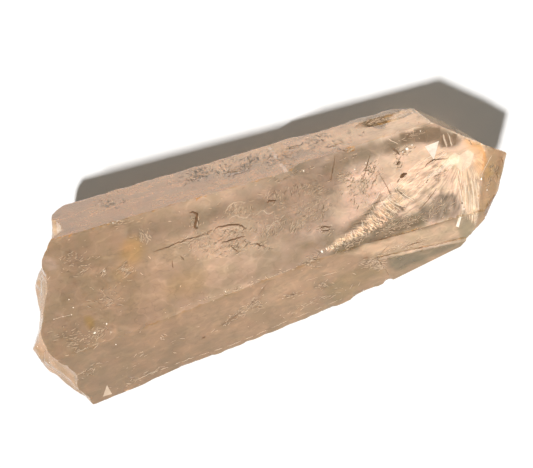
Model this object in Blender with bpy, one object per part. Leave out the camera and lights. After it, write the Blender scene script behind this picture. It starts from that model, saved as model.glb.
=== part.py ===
# A large natural quartz crystal point, lying on one of its six prism faces
#
# The crystal runs along X with its tip at +X, and rests on Z = 0. It grew as one piece, so it is one solid: a
# tapering six-sided prism, closed at one end by the sloping faces of its point and at the other by a scalloped
# break where it came off its rock. A growth layer stands on it, and chips and pits are cut into it.

import math

import bmesh
import bpy
from mathutils import Matrix, Vector, noise

MM = 0.001

# The prism. All six sides meet at 120 degrees, as in every quartz crystal, so a cross-section is given by its
# height, where its top side starts and ends across the crystal, and how wide its two upper slopes are.
# Each row is: place along the crystal, height, near and far end of the top side, near slope, far slope.
PRISM_SECTIONS_MM = (
    (-50.0, 37.5, -12.0, 16.1, 22.4, 25.4),
    (10.5, 34.0, -10.1, 13.1, 21.2, 27.0),
    (13.5, 33.8, -10.1, 14.1, 21.0, 24.0),
    (40.0, 31.2, -11.2, 13.6, 13.6, 22.2),
)
PRISM_START_MM = -85.0
PRISM_END_MM = 95.0

# The faces of the point. Each has its direction round the crystal, which is 0 on the top side and positive
# towards the near one, how far it leans in from the crystal's axis, and a place that it passes through.
# The lower faces are the large ones, so the tip lies high, not far below the top side.
TIP_LEAN_DEG = 38.2
TIP_FACES = {
    "end": (11.3, 24.2, (59.5, 3.8, 29.4)),
    "far upper": (-60.0, 40.0, (48.6, 13.8, 30.4)),
    "far lower": (-120.0, TIP_LEAN_DEG, (50.7, 20.2, 15.2)),
    "underside": (180.0, TIP_LEAN_DEG, (65.8, 1.2, 26.0)),
    "near corner": (61.1, 6.9, (46.0, -12.1, 30.7)),
    "near upper": (60.0, TIP_LEAN_DEG, (52.6, -15.2, 25.2)),
    "near lower": (120.0, TIP_LEAN_DEG, (52.0, -14.9, 25.0)),
    "near undercut": (135.8, 40.6, (65.8, 1.2, 26.0)),
}
# The notch on the far side of the tip, between a face towards the body and one towards the tip.
NOTCH_CORNER_MM = (59.5, 3.8, 29.4)
NOTCH_FACES = ((-63.6, 48.9), (-107.5, 12.6))

# A growth layer stands proud of the lower half of the near slope, from here to the point.
LAYER_START_MM = (24.3, -13.9, 27.2)
LAYER_START_WALL = (-1.0, -0.37, -0.1)
LAYER_PROUD_MM = 0.7
LAYER_LOWER_SET_BACK_MM = 0.15
LAYER_TOP_FALL = -0.2
LAYER_END_FACES = ("end", "near upper", "near lower", "near undercut", "underside")

# The break at the root. Each pair is a place across the crystal, and where the break's rim stands along it.
BREAK_RIM_MM = (
    (-36.0, -47.0),
    (-23.2, -55.7),
    (-20.6, -57.4),
    (-17.0, -60.4),
    (-13.0, -62.6),
    (-9.8, -64.8),
    (-5.0, -65.6),
    (-1.0, -63.6),
    (8.5, -60.8),
    (11.0, -60.5),
    (14.0, -57.4),
    (17.5, -54.4),
    (22.5, -52.4),
    (26.0, -51.2),
    (28.0, -48.0),
    (31.0, -39.0),
    (44.0, -22.0),
)
BREAK_RIM_HEIGHT_MM = 16.0
BREAK_UPPER_LEAN = 0.26
BREAK_LOWER_LEAN = 0.36
# The scallops in it: across, height, radius and depth of each hollow.
BREAK_SCALLOPS_MM = (
    (21.5, 16.0, 7.5, 1.4),
    (14.0, 11.0, 8.0, 2.3),
    (4.0, 22.0, 9.5, 2.2),
    (-8.0, 12.0, 7.5, 2.0),
    (-14.5, 21.0, 6.5, 1.7),
    (-20.0, 14.0, 5.5, 1.4),
    (16.5, 27.5, 10.0, 3.2),
    (5.0, 33.5, 8.5, 2.6),
    (-5.5, 30.0, 9.0, 2.9),
    (-13.5, 31.0, 6.5, 2.0),
    (7.0, 4.0, 9.5, 3.0),
    (-6.0, 2.0, 7.5, 2.4),
    (17.0, 3.0, 7.0, 2.4),
)
BREAK_ROUGHNESS_MM = 0.7
BREAK_GRAIN_MM = 4.5
BREAK_GRID_MM = 2.2
BREAK_FIELD_MM = (-36.0, 44.0, -8.0, 48.0)
BREAK_BACK_MM = -110.0

# Chips on the edges and pits in the faces: the centre, the half sizes along, across and down, and the turns
# about X and Z in degrees.
CHIPS = {
    "far_edge_chip": ((39.6, 20.4, 18.4), (8.6, 4.0, 1.5), (-62, -3)),
    "far_edge_flake": ((25.0, 26.3, 13.0), (9.0, 1.9, 3.0), (-10, -3)),
    "near_root_flake": ((-31.0, -23.6, 17.2), (14.0, 1.9, 3.6), (10, 2)),
    "far_corner_chip": ((48.6, 23.2, 12.8), (1.9, 1.6, 2.4), (-30, -35)),
    "near_edge_chip": ((19.6, -21.0, 16.8), (5.2, 1.6, 2.6), (20, 6)),
    "near_edge_nick": ((26.2, -19.8, 17.8), (1.3, 1.0, 1.6), (15, 20)),
    "tip_near_nick": ((46.0, -18.0, 19.6), (1.4, 1.0, 1.2), (15, 25)),
    "top_edge_nick": ((-8.0, 14.9, 36.6), (3.4, 1.5, 1.0), (-20, -2)),
    "top_ledge_pit": ((27.0, 13.9, 33.0), (2.2, 1.2, 0.9), (-20, -6)),
    "near_ridge_pit": ((-33.0, -11.7, 37.2), (2.6, 1.2, 0.8), (20, 3)),
    "underside_pit": ((-20.0, 6.0, -1.3), (7.5, 4.6, 2.3), (0, 25)),
    "far_lower_pit": ((8.0, 22.4, 4.4), (8.5, 2.6, 3.4), (30, -4)),
    "near_lower_pit": ((-12.0, -18.6, 5.6), (10.0, 2.6, 3.0), (-30, 5)),
}

CRYSTAL_COLOUR = (0.86, 0.70, 0.55, 1.0)
CRYSTAL_ROUGHNESS = 0.06
CRYSTAL_CLEARNESS = 0.85
CRYSTAL_REFRACTION = 1.544
BLOCK_MM = 260.0


def clear_scene():
    for thing in list(bpy.data.objects):
        bpy.data.objects.remove(thing, do_unlink=True)


# Warm, faintly smoky quartz: see-through, with a glassy surface.
def smoky_quartz():
    material = bpy.data.materials.new("smoky_quartz")
    material.use_nodes = True
    shader = material.node_tree.nodes["Principled BSDF"]
    shader.inputs["Base Color"].default_value = CRYSTAL_COLOUR
    shader.inputs["Roughness"].default_value = CRYSTAL_ROUGHNESS
    shader.inputs["Metallic"].default_value = 0.0
    shader.inputs["IOR"].default_value = CRYSTAL_REFRACTION
    shader.inputs["Transmission Weight"].default_value = CRYSTAL_CLEARNESS
    return material


def object_from(shape, name):
    bmesh.ops.recalc_face_normals(shape, faces=shape.faces)
    mesh = bpy.data.meshes.new(name)
    shape.to_mesh(mesh)
    shape.free()
    thing = bpy.data.objects.new(name, mesh)
    bpy.context.scene.collection.objects.link(thing)
    return thing


# A shape that only cuts or joins another, and isn't a piece itself.
def helper_from(shape, name):
    thing = object_from(shape, name)
    thing.hide_render = True
    thing.display_type = "WIRE"
    return thing


# The six corners of a cross-section, from the near end of the top side down the near side and round.
def section_corners(along, height, top_near, top_far, near_slope, far_slope):
    drop, shift = math.cos(math.radians(30)), math.sin(math.radians(30))
    near_lower = height / drop - near_slope
    far_lower = height / drop - far_slope
    near_y, near_z = top_near - near_slope * shift, height - near_slope * drop
    far_y, far_z = top_far + far_slope * shift, height - far_slope * drop
    around = (
        (top_near, height),
        (near_y, near_z),
        (near_y + near_lower * shift, 0.0),
        (far_y - far_lower * shift, 0.0),
        (far_y, far_z),
        (top_far, height),
    )
    return [Vector((along, across, up)) * MM for across, up in around]


# A section's sizes where the straight line through two of them reaches another place along the crystal.
def section_between(start, end, along):
    share = (along - start[0]) / (end[0] - start[0])
    return tuple(a + (b - a) * share for a, b in zip(start, end))


def lofted_prism():
    sections = list(PRISM_SECTIONS_MM)
    first = section_between(sections[0], sections[1], PRISM_START_MM)
    last = section_between(sections[-2], sections[-1], PRISM_END_MM)
    sections = [first, *sections[1:-1], last]
    shape = bmesh.new()
    rings = [[shape.verts.new(corner) for corner in section_corners(*section)] for section in sections]
    for here, beyond in zip(rings, rings[1:]):
        for side in range(6):
            after = (side + 1) % 6
            shape.faces.new((here[side], here[after], beyond[after], beyond[side]))
    shape.faces.new(rings[0])
    shape.faces.new(rings[-1])
    return shape


# Slices away all that lies past a plane, and closes the cut with a flat face.
def cut_off(shape, outward, point_mm, set_back_mm=0.0):
    outward = Vector(outward).normalized()
    point = (Vector(point_mm) - outward * set_back_mm) * MM
    everything = shape.verts[:] + shape.edges[:] + shape.faces[:]
    cut = bmesh.ops.bisect_plane(shape, geom=everything, plane_co=point, plane_no=outward, clear_outer=True)
    rim = [part for part in cut["geom_cut"] if isinstance(part, bmesh.types.BMEdge)]
    if rim:
        bmesh.ops.contextual_create(shape, geom=rim)


def face_direction(round_deg, lean_deg):
    turn, lean = math.radians(round_deg), math.radians(lean_deg)
    return math.sin(lean), -math.sin(turn) * math.cos(lean), math.cos(turn) * math.cos(lean)


def block():
    shape = bmesh.new()
    bmesh.ops.create_cube(shape, size=BLOCK_MM * MM)
    return shape


# The space outside both faces of the notch.
def notch_cutter():
    shape = block()
    for round_deg, lean_deg in NOTCH_FACES:
        cut_off(shape, -Vector(face_direction(round_deg, lean_deg)), NOTCH_CORNER_MM)
    return helper_from(shape, "notch_cutter")


# The growth layer on the near slope, which shows as a ledge along it.
def near_layer():
    inner = section_corners(*PRISM_SECTIONS_MM[-2])
    outer = section_corners(*PRISM_SECTIONS_MM[-1])
    slope = (inner[1] - inner[0]).cross(outer[0] - inner[0])
    lower = (inner[2] - inner[1]).cross(outer[1] - inner[1])
    shape = block()
    cut_off(shape, slope, inner[0] / MM, -LAYER_PROUD_MM)
    cut_off(shape, lower, inner[1] / MM, LAYER_LOWER_SET_BACK_MM)
    cut_off(shape, (-LAYER_TOP_FALL, 0.0, 1.0), LAYER_START_MM)
    cut_off(shape, LAYER_START_WALL, LAYER_START_MM)
    cut_off(shape, (0, 1, 0), (0, -9.0, 0))
    cut_off(shape, (0, 0, -1), (0, 0, 8.0))
    for name in LAYER_END_FACES:
        round_deg, lean_deg, point_mm = TIP_FACES[name]
        cut_off(shape, face_direction(round_deg, lean_deg), point_mm, LAYER_LOWER_SET_BACK_MM)
    return helper_from(shape, "near_growth_layer")


# How far along the crystal the break's rim stands at this place across it.
def break_rim_at(across_mm):
    for (y0, x0), (y1, x1) in zip(BREAK_RIM_MM, BREAK_RIM_MM[1:]):
        if across_mm <= y1:
            return x0 + (x1 - x0) * max(0.0, (across_mm - y0) / (y1 - y0))
    return BREAK_RIM_MM[-1][1]


# Where the broken surface lies along the crystal: it falls back from the rim, above and below.
def break_depth(across_mm, up_mm):
    above = max(0.0, up_mm - BREAK_RIM_HEIGHT_MM)
    below = max(0.0, BREAK_RIM_HEIGHT_MM - up_mm)
    hollow = 0.0
    for y, z, radius, depth in BREAK_SCALLOPS_MM:
        away = ((across_mm - y) ** 2 + (up_mm - z) ** 2) / radius**2
        hollow = max(hollow, depth * (1.0 - away))
    rough = noise.noise(Vector((across_mm, up_mm, 0.0)) / BREAK_GRAIN_MM) * BREAK_ROUGHNESS_MM
    lean = BREAK_UPPER_LEAN * above + BREAK_LOWER_LEAN * below
    return break_rim_at(across_mm) + lean + hollow + rough


# All the space past the break at the root, with the scalloped surface as its inner side.
def break_cutter():
    near, far, low, high = BREAK_FIELD_MM
    columns = round((far - near) / BREAK_GRID_MM)
    rows = round((high - low) / BREAK_GRID_MM)
    shape = bmesh.new()
    grid = []
    for i in range(columns + 1):
        across = near + (far - near) * i / columns
        heights = [low + (high - low) * j / rows for j in range(rows + 1)]
        grid.append([shape.verts.new(Vector((break_depth(across, up), across, up)) * MM) for up in heights])
    for left, right in zip(grid, grid[1:]):
        for j in range(rows):
            shape.faces.new((left[j], right[j], right[j + 1], left[j + 1]))
    grown = bmesh.ops.extrude_face_region(shape, geom=shape.faces[:])["geom"]
    for corner in (part for part in grown if isinstance(part, bmesh.types.BMVert)):
        corner.co.x = BREAK_BACK_MM * MM
    bmesh.ops.triangulate(shape, faces=shape.faces)
    return helper_from(shape, "break_cutter")


# A shell-shaped hollow with flat facets, as struck quartz leaves.
def chip_cutter(name, centre_mm, half_sizes_mm, turns_deg):
    about_x, about_z = (math.radians(turn) for turn in turns_deg)
    place = (
        Matrix.Translation(Vector(centre_mm) * MM)
        @ Matrix.Rotation(about_z, 4, "Z")
        @ Matrix.Rotation(about_x, 4, "X")
        @ Matrix.Diagonal((*(Vector(half_sizes_mm) * MM), 1.0))
    )
    shape = bmesh.new()
    bmesh.ops.create_icosphere(shape, subdivisions=2, radius=1.0, matrix=place)
    return helper_from(shape, name)


def combine(thing, other, operation):
    step = thing.modifiers.new(other.name, "BOOLEAN")
    step.operation = operation
    step.solver = "EXACT"
    step.object = other


# Puts the middle of the crystal's length and width at the origin, with its underside on Z = 0.
def stand_on_origin(crystal, helpers):
    bpy.context.view_layer.update()
    finished = crystal.evaluated_get(bpy.context.evaluated_depsgraph_get())
    corners = [Vector(corner) for corner in finished.bound_box]
    low = Vector(map(min, *corners))
    high = Vector(map(max, *corners))
    holder = bpy.data.objects.new("crystal_frame", None)
    bpy.context.scene.collection.objects.link(holder)
    for thing in (crystal, *helpers):
        thing.parent = holder
    holder.location = (-(low.x + high.x) / 2, -(low.y + high.y) / 2, -low.z)
    bpy.context.view_layer.update()


def quartz_crystal():
    shape = lofted_prism()
    for round_deg, lean_deg, point_mm in TIP_FACES.values():
        cut_off(shape, face_direction(round_deg, lean_deg), point_mm)
    crystal = object_from(shape, "quartz_crystal")
    crystal.data.materials.append(smoky_quartz())
    grown_on = [near_layer()]
    cut_away = [break_cutter(), notch_cutter()]
    cut_away += [chip_cutter(name, *sizes) for name, sizes in CHIPS.items()]
    for addition in grown_on:
        combine(crystal, addition, "UNION")
    for cutter in cut_away:
        combine(crystal, cutter, "DIFFERENCE")
    stand_on_origin(crystal, grown_on + cut_away)


clear_scene()
quartz_crystal()
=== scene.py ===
import math
import random

import bmesh
import bpy
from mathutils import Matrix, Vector, noise
from mathutils.bvhtree import BVHTree


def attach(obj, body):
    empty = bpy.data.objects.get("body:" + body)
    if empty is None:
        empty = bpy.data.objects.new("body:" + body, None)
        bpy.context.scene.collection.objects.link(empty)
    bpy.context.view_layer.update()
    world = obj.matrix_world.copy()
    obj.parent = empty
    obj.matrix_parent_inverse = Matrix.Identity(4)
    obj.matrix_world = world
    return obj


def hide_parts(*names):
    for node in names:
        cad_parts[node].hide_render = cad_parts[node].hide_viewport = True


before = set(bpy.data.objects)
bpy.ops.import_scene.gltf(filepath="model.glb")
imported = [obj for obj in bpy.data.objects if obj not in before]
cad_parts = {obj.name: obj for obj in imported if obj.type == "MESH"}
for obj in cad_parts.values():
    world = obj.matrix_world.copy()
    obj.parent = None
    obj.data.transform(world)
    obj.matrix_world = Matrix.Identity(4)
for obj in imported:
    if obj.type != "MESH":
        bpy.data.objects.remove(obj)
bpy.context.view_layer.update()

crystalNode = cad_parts["quartz_crystal"]
mm = 0.001

# The camera looks down on the crystal as the photograph does
photoCamera = {
    "azimuth": -20.0,  # degrees, 0 looks along +Y
    "elevation": 80.0,
    "distance": 0.307,
    "lens": 85.0,  # millimetres
    "film": 36.0,
    "target": (-0.00018, -0.00262, 0.035),
    "frame": (533, 468),  # the photograph's pixels, in which the places below are given
    "pixelsPerMm": 4.1,  # on the crystal's upper side
}


def makeCamera(cfg):
    az, el = math.radians(cfg["azimuth"]), math.radians(cfg["elevation"])
    outward = Vector((math.sin(az) * math.cos(el), -math.cos(az) * math.cos(el), math.sin(el)))
    data = bpy.data.cameras.new("photoCamera")
    data.lens = cfg["lens"]
    data.sensor_width = cfg["film"]
    data.sensor_fit = "HORIZONTAL"
    camera = bpy.data.objects.new("photoCamera", data)
    camera.location = Vector(cfg["target"]) + outward * cfg["distance"]
    camera.rotation_euler = (-outward).to_track_quat("-Z", "Y").to_euler()
    bpy.context.scene.collection.objects.link(camera)
    bpy.context.scene.camera = camera
    bpy.context.view_layer.update()
    return camera


camera = makeCamera(photoCamera)
cameraPlace = camera.matrix_world.copy()
cameraInverse = cameraPlace.inverted()
frameWide, frameHigh = photoCamera["frame"]
pixelReach = photoCamera["lens"] / photoCamera["film"] * frameWide
pixelsPerMm = photoCamera["pixelsPerMm"]
print("camera placed")


def pixelOf(point):
    local = cameraInverse @ point
    return frameWide / 2 - local.x * pixelReach / local.z, frameHigh / 2 + local.y * pixelReach / local.z


def held(value):  # from 0 to 1
    return max(0.0, min(1.0, value))


def between(first, second, share):
    return first + (second - first) * share


def mixed(first, second, share):
    return [between(a, b, share) for a, b in zip(first, second)]


def turned(x, y, degrees):
    c, s = math.cos(math.radians(degrees)), math.sin(math.radians(degrees))
    return x * c - y * s, x * s + y * c


# The crystal's surface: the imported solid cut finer, with natural unevenness in its faces and worn edges
crystalSurface = {
    "longestEdge": 1.25 * mm,
    "longestNearPoint": 0.65 * mm,  # past this place along the crystal and above this height
    "nearPoint": 11.0 * mm,
    "upperSide": 14.0 * mm,
    "splitRounds": 12,  # at most
    "swell": 0.06 * mm,  # slow unevenness of the faces
    "swellSize": 9.0 * mm,
    "edgeWear": 0.30 * mm,  # how far the sharp edges are worn in, unevenly
    "wearSize": 2.4 * mm,
    "sharpAngle": 11.0,  # degrees between faces that still shade as one
    "pitDepth": 0.16 * mm,
    "pitGrain": 1.1 * mm,
    # etched hollows: pixels across and down, half length and half width in millimetres, turn in degrees
    "pits": {
        "farBandLeft": (200, 177, 3.0, 0.8, 12),
        "farBandMiddle": (236, 171, 3.4, 0.8, 14),
        "farBandRight": (292, 148, 2.4, 0.7, 14),
        "farBandEnd": (336, 145, 2.2, 0.7, 14),
        "nearEtchLow": (238, 314, 3.0, 0.6, 40),
        "nearEtchHigh": (255, 304, 2.0, 0.8, 20),
        "nearMark": (293, 295, 2.4, 0.5, 12),
        "nearEdge": (322, 286, 1.6, 1.0, 20),
        "middlePatch": (237, 210, 3.0, 2.0, 10),
        "lightPatch": (233, 231, 3.2, 1.2, 14),
        "goldenPatch": (128, 273, 2.0, 1.4, 10),
        "baseMarks": (88, 371, 2.2, 0.6, 25),
        "whiteCorner": (107, 391, 1.2, 1.4, 0),
    },
}


def longestAt(edge, cfg):
    middle = (edge.verts[0].co + edge.verts[1].co) / 2
    fine = middle.x > cfg["nearPoint"] and middle.z > cfg["upperSide"]
    return cfg["longestNearPoint"] if fine else cfg["longestEdge"]


def splitLongEdges(shape, cfg):
    for _ in range(cfg["splitRounds"]):
        long = [edge for edge in shape.edges if edge.calc_length() > longestAt(edge, cfg)]
        if not long:
            break
        bmesh.ops.subdivide_edges(shape, edges=long, cuts=1)
        bmesh.ops.triangulate(shape, faces=[face for face in shape.faces if len(face.verts) > 3])


# How deep inside an oval this pixel lies: 1 in its middle and 0 outside it
def ovalShare(px, py, at, along, across, turn):
    x, y = turned(px - at[0], py - at[1], turn)
    away = (x / (along * pixelsPerMm)) ** 2 + (y / (across * pixelsPerMm)) ** 2
    return max(0.0, 1.0 - away) ** 2


def pitAt(v, cfg):
    if v.normal.z < 0.1:
        return 0.0
    px, py = pixelOf(v.co)
    deepest = max(ovalShare(px, py, row[:2], *row[2:]) for row in cfg["pits"].values())
    return deepest * cfg["pitDepth"] * (0.6 + noise.noise(v.co / cfg["pitGrain"]))


def makeCrystal(cfg):
    shape = bmesh.new()
    shape.from_mesh(crystalNode.data)
    bmesh.ops.remove_doubles(shape, verts=shape.verts, dist=0.001 * mm)
    bmesh.ops.dissolve_limit(shape, angle_limit=math.radians(0.05), verts=shape.verts, edges=shape.edges)
    bmesh.ops.triangulate(shape, faces=shape.faces)
    shape.normal_update()
    sharp = math.radians(cfg["sharpAngle"])
    splitLongEdges(shape, cfg)
    shape.normal_update()
    onEdge = {v for edge in shape.edges
              if len(edge.link_faces) == 2 and edge.calc_face_angle() > sharp for v in edge.verts}
    moves = []
    for v in shape.verts:
        swell = noise.noise(v.co / cfg["swellSize"]) * cfg["swell"]
        wear = pitAt(v, cfg)
        if v in onEdge:
            wear += max(0.0, 0.3 + noise.noise(v.co / cfg["wearSize"])) * cfg["edgeWear"]
        moves.append(v.normal * (swell - cfg["swell"] - max(0.0, wear)))
    for v, move in zip(shape.verts, moves):
        v.co += move
        v.co.z = max(v.co.z, 0.0)
    mesh = bpy.data.meshes.new("crystalBody")
    shape.to_mesh(mesh)
    shape.free()
    mesh.shade_smooth()
    mesh.set_sharp_from_angle(angle=sharp)
    piece = bpy.data.objects.new("crystalBody", mesh)
    bpy.context.scene.collection.objects.link(piece)
    return piece


crystalBody = makeCrystal(crystalSurface)
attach(crystalBody, "root")
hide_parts("quartz_crystal")
print("crystal surface:", len(crystalBody.data.polygons), "faces")

# Places in the photograph are found on the crystal by the ray that bends into the quartz there
quartzIor = 1.544
seenThrough = {
    "flattest": 0.3,  # a ray that goes in flatter than this isn't carried further for it
    "skip": 0.01 * mm,  # past the surface that it came through
    "farthest": 0.85,  # of the way through the crystal
}
surfaceMesh = crystalBody.data
crystalTree = BVHTree.FromPolygons([v.co for v in surfaceMesh.vertices],
                                   [face.vertices[:] for face in surfaceMesh.polygons])


# The point that shows at this pixel, this deep below the surface, and the surface's own direction there
def seenAt(px, py, depth):
    local = Vector((px - frameWide / 2, frameHigh / 2 - py, -pixelReach))
    ray = (cameraPlace.to_3x3() @ local).normalized()
    hit, facing, _, _ = crystalTree.ray_cast(cameraPlace.translation, ray)
    if hit is None:
        return None, None
    if facing.dot(ray) > 0:
        facing = -facing
    bend = 1 / quartzIor
    steep = -facing.dot(ray)
    inward = bend * ray + (bend * steep - math.sqrt(1 - bend**2 * (1 - steep**2))) * facing
    if depth <= 0:
        return hit - facing * depth, facing
    reach = depth / max(seenThrough["flattest"], -inward.dot(facing))
    beyond, _, _, across = crystalTree.ray_cast(hit + inward * seenThrough["skip"], inward)
    if beyond is not None:
        reach = min(reach, across * seenThrough["farthest"])
    return hit + inward * reach, facing


# A smooth walk through given points, with as many steps as asked
def smoothWalk(points, steps):
    walk = []
    last = len(points) - 1
    for i in range(steps + 1):
        t = i / steps * last
        k = min(int(t), last - 1)
        u = t - k
        a, b, c, d = (points[max(0, min(last, k + step))] for step in (-1, 0, 1, 2))
        walk.append(tuple(
            0.5 * (2 * q + (r - p) * u + (2 * p - 5 * q + 4 * r - s) * u**2 + (3 * q - p - 3 * r + s) * u**3)
            for p, q, r, s in zip(a, b, c, d)
        ))
    return walk


# Places along a short bowed stroke: its middle, turn, length and bow in pixels, and how far it lies beside
def bowedStroke(px, py, turn, reach, bow, depth=0.0, beside=0.0):
    places = []
    for i in range(5):
        t = i / 4 - 0.5
        lift = bow * (1 - 4 * t * t) + beside
        places.append(seenAt(px + math.cos(turn) * reach * t - math.sin(turn) * lift,
                             py + math.sin(turn) * reach * t + math.cos(turn) * lift, depth))
    return places


# A thin closed sliver that runs through the points, pointed at both ends
def addSliver(shape, places, width, thick=0.3):
    places = [(point, facing) for point, facing in places if point is not None]
    if len(places) < 2:
        return
    rings = []
    for i, (point, facing) in enumerate(places):
        before = places[max(0, i - 1)][0]
        after = places[min(len(places) - 1, i + 1)][0]
        run = after - before
        if run.length < 1e-7:
            return
        side = run.normalized().cross(facing)
        if side.length < 1e-6:
            return
        side.normalize()
        share = math.sin(math.pi * (0.04 + 0.92 * i / (len(places) - 1))) ** 0.6
        half = width * 0.5 * share
        up = side.cross(run.normalized()) * half * thick
        rings.append([shape.verts.new(point + offset) for offset in (side * half, up, -side * half, -up)])
    for here, beyond in zip(rings, rings[1:]):
        for k in range(4):
            after = (k + 1) % 4
            shape.faces.new((here[k], here[after], beyond[after], beyond[k]))
    shape.faces.new(rings[0][::-1])
    shape.faces.new(rings[-1])


# A small closed flake with an uneven outline
def addFlake(shape, point, facing, size, rng, corners=6, stretch=1.0, turn=None, thick=0.12):
    if point is None:
        return
    across = facing.orthogonal().normalized()
    other = facing.cross(across)
    turn = rng.uniform(0, math.tau) if turn is None else turn
    top = shape.verts.new(point + facing * size * thick)
    low = shape.verts.new(point - facing * size * thick)
    rim = []
    for k in range(corners):
        angle = math.tau * (k + rng.uniform(-0.25, 0.25)) / corners
        long, short = math.cos(angle) * size * stretch, math.sin(angle) * size / stretch
        reach = rng.uniform(0.65, 1.0)
        x = (long * math.cos(turn) - short * math.sin(turn)) * reach
        y = (long * math.sin(turn) + short * math.cos(turn)) * reach
        rim.append(shape.verts.new(point + across * x + other * y))
    for k in range(corners):
        after = rim[(k + 1) % corners]
        shape.faces.new((top, rim[k], after))
        shape.faces.new((low, after, rim[k]))


# A flat closed plate with its corners at these pixels
def addPlate(shape, at, depth, thickness):
    places = [seenAt(px, py, depth) for px, py in at]
    if any(point is None for point, _ in places):
        return
    facing = sum((f for _, f in places), Vector()).normalized()
    upper = [shape.verts.new(point) for point, _ in places]
    lower = [shape.verts.new(point - facing * thickness) for point, _ in places]
    shape.faces.new(upper)
    shape.faces.new(lower[::-1])
    for k in range(len(upper)):
        after = (k + 1) % len(upper)
        shape.faces.new((upper[k], lower[k], lower[after], upper[after]))


innerPieces = []


def finishInner(shape, name, material):
    bmesh.ops.recalc_face_normals(shape, faces=shape.faces)
    mesh = bpy.data.meshes.new(name)
    shape.to_mesh(mesh)
    shape.free()
    mesh.materials.append(material)
    piece = bpy.data.objects.new(name, mesh)
    bpy.context.scene.collection.objects.link(piece)
    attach(piece, "root")
    innerPieces.append(piece)
    print(name, len(mesh.polygons), "faces")
    return piece


# The look of what lies inside the quartz: two shades in small uneven patches
innerLook = {
    "detail": 4.0,
    "shadeFrom": 0.35,  # where in the grain one shade begins to turn to the other
    "shadeTo": 0.62,
    "roughnessSpread": 0.3,  # either way
    "relief": 0.3,
    "reliefHeight": 0.05 * mm,
    "specular": 0.15,  # low, because quartz lies around it
}


def innerFinish(name, cfg):
    material = bpy.data.materials.new(name)
    material.use_nodes = True
    nodes, links = material.node_tree.nodes, material.node_tree.links
    shader = nodes["Principled BSDF"]
    place = nodes.new("ShaderNodeTexCoord")
    grain = nodes.new("ShaderNodeTexNoise")
    grain.inputs["Scale"].default_value = 1 / cfg["grain"]
    grain.inputs["Detail"].default_value = innerLook["detail"]
    links.new(place.outputs["Object"], grain.inputs["Vector"])
    shades = nodes.new("ShaderNodeMix")
    shades.data_type = "RGBA"
    shades.inputs["A"].default_value = (*cfg["shade"], 1.0)
    shades.inputs["B"].default_value = (*cfg["colour"], 1.0)
    spread = nodes.new("ShaderNodeMapRange")
    spread.inputs["From Min"].default_value = innerLook["shadeFrom"]
    spread.inputs["From Max"].default_value = innerLook["shadeTo"]
    links.new(grain.outputs["Fac"], spread.inputs["Value"])
    links.new(spread.outputs["Result"], shades.inputs["Factor"])
    links.new(shades.outputs["Result"], shader.inputs["Base Color"])
    matte = nodes.new("ShaderNodeMapRange")
    matte.inputs["To Min"].default_value = cfg["roughness"] * (1 - innerLook["roughnessSpread"])
    matte.inputs["To Max"].default_value = min(1.0, cfg["roughness"] * (1 + innerLook["roughnessSpread"]))
    links.new(grain.outputs["Fac"], matte.inputs["Value"])
    links.new(matte.outputs["Result"], shader.inputs["Roughness"])
    relief = nodes.new("ShaderNodeBump")
    relief.inputs["Strength"].default_value = innerLook["relief"]
    relief.inputs["Distance"].default_value = innerLook["reliefHeight"]
    links.new(grain.outputs["Fac"], relief.inputs["Height"])
    links.new(relief.outputs["Normal"], shader.inputs["Normal"])
    shader.inputs["Specular IOR Level"].default_value = innerLook["specular"]
    shader.inputs["Alpha"].default_value = cfg.get("alpha", 1.0)
    return material
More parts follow.
